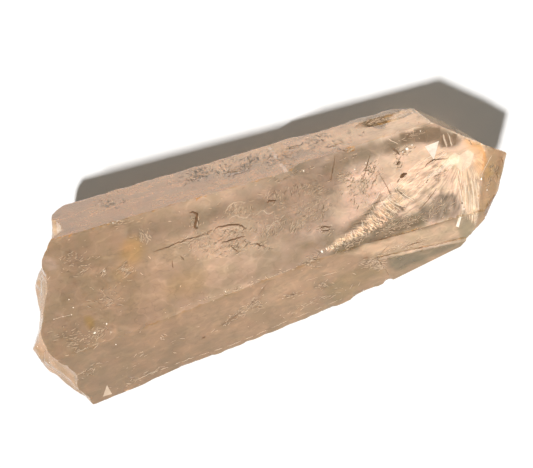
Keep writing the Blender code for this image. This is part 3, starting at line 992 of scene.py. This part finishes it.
# Thin brown cracks and etched marks, each a line of places
brownMarks = {
    "seed": 5,
    "finish": {"colour": (0.17, 0.09, 0.045), "shade": (0.08, 0.045, 0.025), "grain": 0.7 * mm,
               "roughness": 0.6},
    # width in millimetres, then where the line runs
    "lines": {
        "hook": (0.70, [(190, 213.5), (194, 213), (197, 215), (196.5, 220), (195, 224), (195.5, 228)]),
        "hookFoot": (0.40, [(193, 226), (196, 228.5), (199, 227)]),
        "longCrack": (0.26, [(152, 252), (165, 248), (180, 241.8), (196, 237), (212, 232)]),
        "bentCrack": (0.42, [(215, 228.3), (226, 225.5), (236, 224.4), (241, 226), (245.5, 229)]),
        "lowerCrack": (0.36, [(222, 243), (233, 239.5), (245, 235.9)]),
        "dash": (0.5, [(267, 202.7), (271, 201), (277, 200.4)]),
        "yellowSpotDark": (0.45, [(256.5, 242.5), (259, 245), (262, 246.5)]),
        "speck": (0.95, [(400, 177.5), (403, 175.5), (406.5, 174)]),
        "speckTail": (0.20, [(396.8, 183), (398.5, 180), (400, 178.5)]),
        "redDotOne": (0.45, [(396, 165), (398, 163.5), (400, 161)]),
        "beadedLine": (0.16, [(378, 171.5), (383, 180), (388, 189), (391, 196)]),
        "tipCrack": (0.32, [(425, 167), (429, 163), (434, 160), (440, 158.8), (448, 159)]),
        "steepCrack": (0.20, [(335, 155.5), (333.5, 166), (330.5, 181)]),
        "curvedCrack": (0.20, [(370, 155), (367, 166), (363, 180)]),
        "darkDash": (0.55, [(393, 147.5), (396, 151), (399.5, 154.5)]),
        "thinLedgeCrack": (0.16, [(379.5, 255), (384, 250), (389, 245)]),
        "tipDot": (0.50, [(461.3, 202), (462, 203), (462.8, 204)]),
        "seam": (0.18, [(419, 209), (424, 205), (431, 196), (437, 188)]),
        "middleTick": (0.28, [(231, 246), (235, 250), (238, 252)]),
        "shortTick": (0.26, [(180, 256), (184, 260)]),
        "baseTick": (0.22, [(172, 260), (173, 268)]),
        "ovalTop": (0.40, [(320, 229), (325, 226.5), (331, 227)]),
        "ovalLow": (0.30, [(321, 230), (326, 230.5), (330.5, 229)]),
        "farMarkOne": (0.40, [(188, 181), (194, 179.5), (200, 177.5)]),
        "farMarkTwo": (0.34, [(222, 174), (231, 171), (240, 168.5)]),
        "farMarkThree": (0.30, [(228, 177), (238, 174), (250, 171)]),
        "farMarkFour": (0.34, [(286, 150), (292, 147), (302, 144.5)]),
        "farMarkFive": (0.34, [(327, 148), (335, 145), (345, 141.5)]),
        "etchLow": (0.30, [(221, 326), (231, 319), (241, 312.5)]),
        "etchHigh": (0.26, [(249, 305), (255, 301), (262, 298)]),
        "etchSide": (0.26, [(250, 309), (257, 307), (262, 307.5)]),
        "etchTail": (0.18, [(258, 296), (264, 288), (269, 281)]),
        "nearLine": (0.26, [(285, 297), (293, 294.5), (302, 292.5)]),
        "nearSpot": (0.70, [(203, 338), (205, 337.5)]),
        "ledgeStep": (0.22, [(377.5, 258), (388, 255), (400, 252.3)]),
        "ledgeStepFar": (0.15, [(404, 251), (420, 248), (439, 244), (457, 239.5)]),
        "ledgeEtch": (0.30, [(405, 247), (414, 243.5), (425, 240.5)]),
        "ledgeEtchLow": (0.30, [(363, 259), (369, 257)]),
        "nearEdgeLine": (0.26, [(366, 243), (392, 236.5), (420, 229), (455, 219)]),
        "chipRim": (0.24, [(365, 124), (372, 126.8), (380, 127), (386, 124.5)]),
        "baseLine": (0.22, [(84, 373), (90, 370), (97, 367.5)]),
    },
}


def lengthOf(at):
    return sum(math.dist(a, b) for a, b in zip(at, at[1:]))


def makeBrownMarks(cfg):
    rng = random.Random(cfg["seed"])
    shape = bmesh.new()
    for width, at in cfg["lines"].values():
        length = lengthOf(at)
        steps = max(4, int(length / 1.6))
        stray = min(0.45, width)
        places = [seenAt(px + rng.gauss(0, stray), py + rng.gauss(0, stray), 0.0)
                  for px, py in smoothWalk(at, steps)]
        addSliver(shape, places, width * mm)
        for _ in range(int(length / 3)):
            px, py = rng.choice(smoothWalk(at, steps))
            spot = seenAt(px + rng.gauss(0, 1.0), py + rng.gauss(0, 0.8), 0.0)
            addFlake(shape, *spot, rng.uniform(0.05, 0.14) * mm, rng, corners=5)
    return finishInner(shape, "brownMarks", innerFinish("brownEtch", cfg["finish"]))


makeBrownMarks(brownMarks)

# Bright little flakes painted near white as glints of light, and cream lines, some of them painted highlights
sparkles = {
    "seed": 9,
    "finish": {"colour": (1.0, 0.97, 0.90), "shade": (0.97, 0.88, 0.76), "grain": 1.0 * mm,
               "roughness": 0.25},
    "cream": {"colour": (0.64, 0.52, 0.40), "shade": (0.48, 0.37, 0.27), "grain": 0.5 * mm,
              "roughness": 0.35},
    # at, then size in millimetres
    "spots": {
        "brightest": (94.5, 333, 0.62), "second": (106.5, 324, 0.40), "third": (115.8, 344.5, 0.30),
        "baseEdge": (37.5, 346.5, 0.30), "lowerEdge": (49.5, 362.5, 0.30), "basePair": (52, 360, 0.22),
        "rowOne": (69, 299.5, 0.24), "rowTwo": (73.3, 307.6, 0.26), "rowThree": (54, 319.3, 0.22),
        "rowFour": (63, 316.6, 0.22), "rowFive": (71.5, 314.6, 0.22), "farOne": (131, 215, 0.30),
        "farTwo": (99.6, 225.7, 0.32), "farThree": (113, 223, 0.30), "farFour": (117, 221, 0.24),
        "farFive": (99, 203.8, 0.34), "middleOne": (303.7, 170.8, 0.42), "middleTwo": (354.7, 169.5, 0.40),
        "nearOne": (161, 338, 0.26), "nearTwo": (225.5, 291.5, 0.26), "stainOne": (104, 271, 0.30),
        "tipGreen": (407, 148.8, 0.75), "tipGreenLow": (403, 152, 0.40), "tipRing": (420.4, 131, 0.42),
        "tipLight": (412, 145, 0.34), "sliver": (487, 190, 0.34), "stainTwo": (111, 332, 0.2),
        "bubble": (322, 251.5, 0.60), "bubbleSide": (326.5, 249, 0.30), "chipEdge": (386, 124, 0.34),
        "chipTwo": (378, 117, 0.26), "nearThree": (262, 288, 0.2), "upper": (366, 163, 0.26),
    },
    # width in millimetres, then where the line runs
    "lines": {
        # partly painted highlights: the glints, the cream bars, the lines along edges and silhouettes and
        # those beside the cracks; the others are cream marks
        "glintEdgeOne": (0.5, [(464, 208), (462, 212.5), (460.6, 217)]),
        "glintEdgeTwo": (0.5, [(460, 216), (458.4, 221), (457, 227)]),
        "breakArc": (0.20, [(43.5, 279), (47, 280), (50, 276.5)]),
        "rimRowOne": (0.09, [(53.5, 319.3), (62, 316.8), (72.5, 315)]),
        "rimRowTwo": (0.10, [(65, 356), (78, 351.5), (92, 346), (106, 340)]),
        "creamBarOne": (0.46, [(443, 134), (445, 140), (446.8, 146.5)]),
        "creamBarTwo": (0.46, [(447.5, 132.8), (450, 139), (452, 146.5)]),
        "creamCurve": (0.26, [(388, 138.5), (392, 141), (398, 143.8)]),
        "farEdgeLine": (0.26, [(418, 113), (440, 118.8), (462, 132), (480, 142.4)]),
        "farInnerLine": (0.22, [(428, 122.5), (448, 127), (468, 139)]),
        "notchEdge": (0.40, [(410, 107.6), (414, 111), (417, 113.5)]),
        "sliverLine": (0.20, [(491.6, 155.5), (486.5, 165), (481.4, 175)]),
        "nearStreak": (0.16, [(136, 380.5), (146, 375.5), (158, 370)]),
        "featherOne": (0.16, [(375, 266.5), (381, 265.2), (386.5, 266.3)]),
        "featherTwo": (0.13, [(374, 269), (380, 268), (386, 269)]),
        "featherThree": (0.11, [(371, 262.5), (377, 261.5), (383, 262.5)]),
        "nearTopEdge": (0.05, [(180, 308), (206, 299), (231, 291.3), (258, 281.5), (286, 270.8),
                               (314, 259.3)]),
        "smallArcOne": (0.11, [(139, 232), (142, 236), (141, 240)]),
        "smallArcTwo": (0.11, [(145, 234), (148, 239), (147, 244)]),
        "goldArc": (0.13, [(122, 279), (127, 276), (132, 271)]),
        "nearCream": (0.10, [(306, 281), (322, 276), (338, 272)]),
        "farRimHighlight": (0.16, [(232, 152), (262, 144), (300, 134), (340, 124.5)]),
        "farRimHighlightLeft": (0.10, [(96, 192), (130, 183), (166, 172), (200, 161)]),
        "nearRimHighlightLow": (0.13, [(150, 374), (192, 358), (234, 344), (290, 320), (343, 298.5)]),
        "bentCrackHighlight": (0.16, [(218, 230.5), (227, 228.3), (235, 227.4), (241, 229.5)]),
        "longCrackHighlight": (0.10, [(180, 244), (196, 239), (210, 234.6)]),
        "hookHighlight": (0.16, [(198.5, 215), (198, 220), (196.8, 226)]),
        "patchRimOne": (0.14, [(225, 214), (229, 206), (237, 202), (246, 203)]),
        "patchRimTwo": (0.12, [(229, 219), (236, 216), (246, 218), (251, 213)]),
        "wavyOne": (0.13, [(268, 231), (272, 224), (278, 221), (281, 227)]),
        "wavyTwo": (0.12, [(257, 215), (263, 210), (268, 214), (274, 211)]),
        "farEndMarks": (0.16, [(327, 145), (335, 141.5), (343, 139)]),
    },
}


def makeSparkles(cfg):
    rng = random.Random(cfg["seed"])
    shape = bmesh.new()
    for px, py, size in cfg["spots"].values():
        addFlake(shape, *seenAt(px, py, 0.0), size * 0.6 * mm, rng, corners=5, stretch=1.15)
        for _ in range(3):
            spot = seenAt(px + rng.gauss(0, 1.6), py + rng.gauss(0, 1.2), 0.15 * mm)
            addFlake(shape, *spot, rng.uniform(0.05, 0.12) * mm, rng, corners=5)
    lines = bmesh.new()
    for width, at in cfg["lines"].values():
        length = lengthOf(at)
        steps = max(4, int(length / 2))
        places = [seenAt(px + rng.gauss(0, 0.2), py + rng.gauss(0, 0.2), 0.0)
                  for px, py in smoothWalk(at, steps)]
        while places:
            run = rng.randint(3, 8) if length > 30 else len(places)
            addSliver(lines, places[:run], width * rng.uniform(0.7, 1.1) * mm)
            places = places[run + rng.randint(0, 2):]
    finishInner(shape, "sparkles", innerFinish("paintedSparkleGlints", cfg["finish"]))
    finishInner(lines, "creamAndHighlightLines", innerFinish("creamAndHighlightLines", cfg["cream"]))


makeSparkles(sparkles)

# Flat inner plates, most of them painted light: a painted glow and painted glints near the point, and painted
# dark reflections under the far edge there
innerPlanes = {
    "step": 0.03,  # millimetres from one plate of a kind to the next, so that none lie in one plane
    "thickness": 0.02 * mm,
    "kinds": {
        # painted glow near the bright spot of the point and on its far band
        "paintedGlowPlanes": {
            "material": "paintedGlow", "colour": (1.0, 0.90, 0.76), "shade": (0.92, 0.81, 0.67),
            "grain": 1.4 * mm, "roughness": 0.5, "alpha": 0.15,
            "plates": {
                "farPatch": [(389, 124), (391, 118), (396, 113.5), (408, 110.5), (419, 114), (426, 121),
                             (415, 124), (404, 128)],
                "farPatchSmall": [(393, 121), (399, 114), (409, 112), (418, 117), (406, 122)],
                "tipBand": [(422, 116), (440, 119.8), (462, 133), (477, 141.5), (466, 139), (448, 128.5),
                            (429, 122.5)],
                "small": [(446, 165), (449, 158), (454, 153), (459, 155), (459, 162), (453, 166), (449, 170)],
                "smallest": [(449.5, 161), (453, 157.5), (457.5, 159), (455, 164), (451, 165)],
                "reach": [(440, 168), (447, 159), (453, 161), (441, 172), (426, 180), (421, 181), (431, 173)],
                "slope": [(458, 156), (468, 150), (474, 154), (470, 166), (461, 172), (456, 166)],
            },
        },
        # painted glints and a painted highlight on a small facet
        "glintPlanes": {
            "material": "paintedGlint", "colour": (0.78, 0.70, 0.61), "shade": (0.66, 0.57, 0.48),
            "grain": 1.2 * mm, "roughness": 0.3, "lift": 0.05,
            "plates": {
                "triangle": [(424.8, 146.5), (438.9, 141), (433.8, 159.5)],
                "glintHigh": [(462.6, 208.6), (465.2, 208), (462.0, 217), (459.4, 217)],
                "glintLow": [(459.0, 216), (461.0, 217.5), (458.6, 227), (455.8, 226)],
            },
        },
        "palePlanes": {
            "material": "palePlane", "colour": (0.50, 0.39, 0.295), "shade": (0.44, 0.34, 0.25),
            "grain": 1.4 * mm, "roughness": 0.4,
            "plates": {
                "whiteCorner": [(103, 396.5), (107, 385), (112, 394)],
            },
        },
        # painted dark reflections under the far edge near the point
        "darkReflectionPlanes": {
            "material": "darkReflectionPlane", "colour": (0.22, 0.16, 0.11), "shade": (0.17, 0.12, 0.08),
            "grain": 1.6 * mm, "roughness": 0.4, "alpha": 0.26,
            "plates": {
                "blockOne": [(400, 134), (411, 129.5), (413, 141), (402, 143.5)],
                "blockTwo": [(413.5, 129), (424, 127), (426, 142), (415.5, 142)],
                "blockThree": [(427, 127.2), (439.5, 127.6), (440.5, 137), (436, 140), (427.5, 142)],
                "besideCurve": [(388, 144.5), (396, 143.5), (400, 152), (396, 154)],
            },
        },
        # painted dark reflections between the cream bars
        "darkReflectionBars": {
            "material": "darkBarReflection", "colour": (0.24, 0.165, 0.11), "shade": (0.17, 0.115, 0.075),
            "grain": 1.6 * mm, "roughness": 0.4,
            "plates": {
                "barOne": [(440.5, 135.5), (443, 135), (446, 146), (442.5, 147.5)],
                "barTwo": [(446.5, 134), (449, 133), (450.5, 146), (448, 147)],
                "barThree": [(452.5, 133), (457, 134.5), (456, 143.5), (454, 146)],
            },
        },
    },
}


def makeInnerPlanes(cfg):
    for name, kind in cfg["kinds"].items():
        shape = bmesh.new()
        for k, at in enumerate(kind["plates"].values()):
            addPlate(shape, at, -(kind.get("lift", 0.0) + cfg["step"] * k) * mm, cfg["thickness"])
        finishInner(shape, name, innerFinish(kind["material"], kind))


makeInnerPlanes(innerPlanes)

# Fine growth lines down the bright face of the point
tipFibres = {
    "count": 55,
    "seed": 21,
    "top": ((456, 170), (479, 178)),  # where the lines start, from the left one to the right one
    "foot": ((461, 214), (477, 226)),
    "bow": 1.6,  # pixels
    "light": {"colour": (0.86, 0.76, 0.62), "shade": (0.76, 0.62, 0.48), "grain": 1.2 * mm, "roughness": 0.4},
    "dark": {"colour": (0.42, 0.30, 0.20), "shade": (0.32, 0.22, 0.15), "grain": 1.2 * mm, "roughness": 0.4},
}


def makeTipFibres(cfg):
    rng = random.Random(cfg["seed"])
    light, dark = bmesh.new(), bmesh.new()
    for _ in range(cfg["count"]):
        share = rng.random()
        top = mixed(*cfg["top"], share)
        foot = mixed(*cfg["foot"], share)
        start = rng.uniform(-0.05, 0.7)
        end = min(1.02, start + rng.uniform(0.15, 0.5))
        places = []
        for i in range(6):
            t = between(start, end, i / 5)
            px, py = mixed(top, foot, t)
            places.append(seenAt(px + cfg["bow"] * math.sin(math.pi * held(t)), py, 0.0))
        addSliver(light if rng.random() < 0.6 else dark, places, rng.uniform(0.05, 0.14) * mm)
    finishInner(light, "tipFibresLight", innerFinish("paleGrowthLines", cfg["light"]))
    finishInner(dark, "tipFibresDark", innerFinish("darkGrowthLines", cfg["dark"]))


makeTipFibres(tipFibres)

# Patches of fine etching: short raised and sunken lines, side by side
etching = {
    "seed": 44,
    "paired": 0.6,  # how many lines have one of the other shade beside them
    "beside": 0.55,  # pixels
    "light": {"colour": (0.51, 0.39, 0.28), "shade": (0.40, 0.295, 0.205), "grain": 1.0 * mm,
              "roughness": 0.4},
    "dark": {"colour": (0.16, 0.10, 0.062), "shade": (0.10, 0.065, 0.04), "grain": 1.0 * mm,
             "roughness": 0.5},
    # at, half length and half width in pixels, turn of the patch and of its lines, how many, the light share
    "groups": {
        "farLeft": ((200, 177), 18, 5, 14, 14, 60, 0.45),
        "farMiddle": ((236, 171), 20, 6, 14, 14, 70, 0.45),
        "farRight": ((280, 160), 22, 7, 15, 14, 60, 0.55),
        "farRightMarks": ((294, 147), 10, 3, 14, 16, 26, 0.35),
        "farEnd": ((336, 145), 12, 4, 14, 16, 34, 0.4),
        "farPale": ((350, 133), 18, 6, 14, 12, 30, 0.8),
        "chip": ((376, 120), 12, 5, 14, 30, 120, 0.45),
        "chipFoot": ((375, 123), 9, 3, 10, 0, 60, 0.3),
        "farCrest": ((402, 110), 12, 2, 10, 12, 30, 0.5),
        "tipFarBand": ((452, 128), 30, 3, -30, -30, 70, 0.6),
        "tanPatch": ((237, 210), 11, 7, 10, 60, 70, 0.75),
        "lightPatch": ((232, 231), 12, 5, 14, 30, 60, 0.8),
        "underPatch": ((236, 246), 14, 7, 10, 40, 60, 0.6),
        "leftOfPatch": ((204, 246), 16, 12, 10, 40, 70, 0.7),
        "hookPlace": ((195, 220), 8, 8, 0, 60, 24, 0.4),
        "yellowSpot": ((262, 245), 9, 4, 0, 20, 40, 0.7),
        "redCluster": ((293.5, 228), 5, 5, 40, 60, 34, 0.3),
        "wavyMiddle": ((275, 228), 16, 8, 30, 70, 50, 0.6),
        "pinkStripes": ((362, 186), 18, 14, 50, 62, 120, 0.65),
        "pinkStripesFar": ((372, 170), 10, 7, 20, 50, 50, 0.4),
        "redDots": ((398, 163), 4, 4, 30, 60, 16, 0.15),
        "darkMiddle": ((318, 190), 8, 7, 20, 20, 40, 0.2),
        "greyFlecks": ((345, 178), 14, 6, 10, 20, 50, 0.5),
        "ovalPlace": ((325, 228), 9, 4, 0, 10, 30, 0.35),
        "greenFlecks": ((404, 150), 9, 5, 20, 40, 50, 0.7),
        "blockFlecks": ((412, 134), 12, 5, 14, 14, 40, 0.5),
        "underFeather": ((400, 224), 24, 6, 16, 20, 170, 0.45),
        "underTail": ((352, 243), 16, 4, 30, 40, 60, 0.5),
        "nearBandEtch": ((408, 244), 24, 4, 16, 16, 60, 0.4),
        "ledgeEdge": ((372, 262), 14, 6, 24, 16, 80, 0.55),
        "ledgeFeather": ((380, 266), 8, 4, 10, 6, 40, 0.8),
        "etchLow": ((240, 312), 22, 4, 38, 34, 80, 0.45),
        "etchHigh": ((256, 304), 9, 6, 20, 14, 60, 0.45),
        "nearMarks": ((293, 295), 12, 3, 12, 12, 30, 0.4),
        "nearSilhouette": ((318, 300), 36, 4, 24, 24, 60, 0.7),
        "nearTopEdge": ((250, 284), 60, 3, 20, 20, 26, 0.5),
        "stainOne": ((127, 270), 9, 7, 0, 30, 50, 0.65),
        "stainTwo": ((104, 272), 5, 6, 0, 50, 16, 0.8),
        "feathery": ((143, 238), 8, 7, 40, -60, 34, 0.85),
        "farBaseMarks": ((120, 222), 18, 4, 14, 14, 26, 0.8),
        "farBaseStain": ((112, 204), 16, 6, 10, 8, 36, 0.8),
        "baseGrey": ((76, 262), 18, 14, 0, 10, 70, 0.4),
        "baseDark": ((104, 296), 16, 14, 0, 0, 60, 0.25),
        "baseLow": ((70, 338), 22, 14, 0, 20, 70, 0.5),
        "baseNear": ((88, 371), 14, 5, 25, 22, 34, 0.7),
        "brightestPlace": ((98, 333), 12, 7, 20, 30, 50, 0.7),
        "nearBase": ((150, 350), 40, 12, 20, 20, 26, 0.5),
        "nearFoot": ((140, 378), 30, 4, 24, 22, 26, 0.7),
        "tipPlateau": ((440, 172), 16, 8, 40, 40, 60, 0.75),
        "hollowFlecks": ((438, 208), 16, 8, 30, 50, 40, 0.5),
        "sliverFlecks": ((490, 176), 6, 18, -12, 70, 40, 0.6),
        "bandEdge": ((300, 172), 60, 3, 16, 16, 40, 0.4),
        "middleGround": ((270, 214), 70, 26, 16, 20, 130, 0.5),
        "farSwirlOne": ((205, 172), 12, 6, 14, 40, 40, 0.7),
        "farSwirlTwo": ((222, 166), 14, 6, 14, -20, 40, 0.6),
        "farSwirlThree": ((262, 158), 16, 6, 14, 34, 40, 0.7),
        "farGold": ((106, 203), 16, 5, 14, 14, 40, 0.7),
        "farRightStrokes": ((318, 140), 18, 6, 14, 18, 90, 0.5),
        "farBandLong": ((270, 158), 80, 9, 15, 15, 200, 0.6),
        "farBandCurls": ((196, 174), 12, 7, 14, -30, 60, 0.5),
        "farBandCurlsRight": ((246, 160), 14, 7, 14, 50, 60, 0.5),
        "veilStrokes": ((312, 214), 18, 14, 40, 50, 110, 0.6),
        "veilDark": ((300, 190), 14, 6, 16, 70, 50, 0.3),
        "blotchOne": ((274, 196), 8, 7, 30, 60, 40, 0.3),
        "blotchTwo": ((312, 262), 10, 6, 20, 30, 40, 0.4),
        "blotchThree": ((322, 285), 7, 4, 10, 10, 40, 0.3),
        "crackGround": ((196, 238), 24, 6, 16, 16, 50, 0.6),
    },
}


def makeEtching(cfg):
    rng = random.Random(cfg["seed"])
    light, dark = bmesh.new(), bmesh.new()
    for at, along, across, turn, lineTurn, count, lightShare in cfg["groups"].values():
        for _ in range(count):
            x, y = turned(rng.gauss(0, 0.5) * along, rng.gauss(0, 0.5) * across, -turn)
            lean = math.radians(-lineTurn + rng.gauss(0, 22))
            reach = rng.uniform(1.0, 2.4) ** 2
            bow, width = reach * rng.gauss(0, 0.07), rng.uniform(0.06, 0.2) * mm
            paired = rng.random() < cfg["paired"]
            first, other = (light, dark) if rng.random() < lightShare else (dark, light)
            addSliver(first, bowedStroke(at[0] + x, at[1] + y, lean, reach, bow), width, 0.15)
            if paired:
                places = bowedStroke(at[0] + x, at[1] + y, lean, reach, bow, beside=cfg["beside"])
                addSliver(other, places, width, 0.15)
    finishInner(light, "etchedRidges", innerFinish("paleEtching", cfg["light"]))
    finishInner(dark, "etchedFurrows", innerFinish("brownEtching", cfg["dark"]))


makeEtching(etching)

# Specks and wisps scattered through the quartz
specks = {
    "seed": 33,
    "count": 1500,
    "field": ((40, 105), (500, 400)),
    "light": {"colour": (0.56, 0.42, 0.30), "shade": (0.44, 0.32, 0.22), "grain": 1.5 * mm, "roughness": 0.5},
    "dark": {"colour": (0.26, 0.17, 0.11), "shade": (0.18, 0.12, 0.08), "grain": 1.5 * mm, "roughness": 0.6},
}


def makeSpecks(cfg):
    rng = random.Random(cfg["seed"])
    light, dark = bmesh.new(), bmesh.new()
    (left, high), (right, low) = cfg["field"]
    for _ in range(cfg["count"]):
        px, py = rng.uniform(left, right), rng.uniform(high, low)
        crowd = noise.noise(Vector((px, py, 0)) / 26) + 0.35 * noise.noise(Vector((px, py, 5)) / 9)
        if crowd < rng.uniform(-0.25, 0.45):
            continue
        point, facing = seenAt(px, py, rng.choice((0.0, rng.uniform(0.2, 6.0))) * mm)
        if point is None:
            continue
        shape = light if rng.random() < 0.55 else dark
        if rng.random() < 0.35:
            turn = math.radians(rng.gauss(-16, 30))
            reach = rng.uniform(1.2, 4.0)
            bow = rng.uniform(-0.7, 0.7)
            depth = rng.choice((0.0, rng.uniform(0.2, 5.0))) * mm
            places = bowedStroke(px, py, turn, reach, bow, depth)
            addSliver(shape, places, rng.uniform(0.06, 0.16) * mm)
        else:
            addFlake(shape, point, facing, rng.uniform(0.05, 0.17) * mm, rng, corners=5, stretch=1.3)
    finishInner(light, "paleSpecks", innerFinish("paleSpecks", cfg["light"]))
    finishInner(dark, "darkSpecks", innerFinish("darkSpecks", cfg["dark"]))


makeSpecks(specks)

studio = {
    "toLight": (-0.357, -0.463, 0.812),
    "lightSize": 3.5,  # degrees across, as the crystal sees it
    "floorPower": 3.9,
    "crystalPower": 6.4,
    "innerPower": 5.0,
    "farFill": (-0.2, 0.75, 0.63),  # soft lamps that reach the far side and the point
    "tipFill": (0.6, 0.1, 0.79),
    "farPower": 2.6,
    "tipPower": 1.8,
    "crystalLight": (1.0, 0.97, 0.93),
    "ambient": 0.22,
    "ambientColour": (1.0, 0.94, 0.82),
    "floor": (0.90, 0.90, 0.90),
    "floorRoughness": 0.9,
    "floorSize": 3.0,
    "floorDrop": 0.2 * mm,  # below the crystal
}


def makeFloor(cfg):
    bpy.ops.mesh.primitive_plane_add(size=cfg["floorSize"], location=(0, 0, -cfg["floorDrop"]))
    floor = bpy.context.object
    floor.name = "paleFloor"
    paint = bpy.data.materials.new("paleFloorPaint")
    paint.use_nodes = True
    shader = paint.node_tree.nodes["Principled BSDF"]
    shader.inputs["Base Color"].default_value = (*cfg["floor"], 1)
    shader.inputs["Roughness"].default_value = cfg["floorRoughness"]
    floor.data.materials.append(paint)
    return floor


# Each lamp lights only what it is given: one the floor, with the crystal's shadow, and the others the quartz
# or the pieces in it, which only the floor shades
def addLamp(name, toLight, power, colour, lit, blocking, cfg):
    lamp = bpy.data.lights.new(name, "SUN")
    lamp.angle = math.radians(cfg["lightSize"])
    lamp.energy = power
    lamp.color = colour
    holder = bpy.data.objects.new(name, lamp)
    holder.rotation_euler = Vector(toLight).to_track_quat("Z", "Y").to_euler()
    bpy.context.scene.collection.objects.link(holder)
    litGroup = bpy.data.collections.new(name + "Lit")
    for thing in lit:
        litGroup.objects.link(thing)
    holder.light_linking.receiver_collection = litGroup
    if blocking:
        blockGroup = bpy.data.collections.new(name + "Blocking")
        for thing in blocking:
            blockGroup.objects.link(thing)
        holder.light_linking.blocker_collection = blockGroup


def makeStudio(cfg):
    floor = makeFloor(cfg)
    addLamp("floorLight", cfg["toLight"], cfg["floorPower"], (1, 1, 1), [floor], None, cfg)
    for name, toLight, power, lit in (
        ("crystalLight", cfg["toLight"], cfg["crystalPower"], [crystalBody]),
        ("innerLight", cfg["toLight"], cfg["innerPower"], innerPieces),
        ("farFill", cfg["farFill"], cfg["farPower"], [crystalBody]),
        ("tipFill", cfg["tipFill"], cfg["tipPower"], [crystalBody]),
    ):
        addLamp(name, toLight, power, cfg["crystalLight"], lit, [floor], cfg)
    world = bpy.data.worlds.new("studioWorld")
    world.use_nodes = True
    world.node_tree.nodes["Background"].inputs["Color"].default_value = (*cfg["ambientColour"], 1)
    world.node_tree.nodes["Background"].inputs["Strength"].default_value = cfg["ambient"]
    bpy.context.scene.world = world
    bpy.context.scene.view_settings.view_transform = "Standard"


makeStudio(studio)
print("studio set")
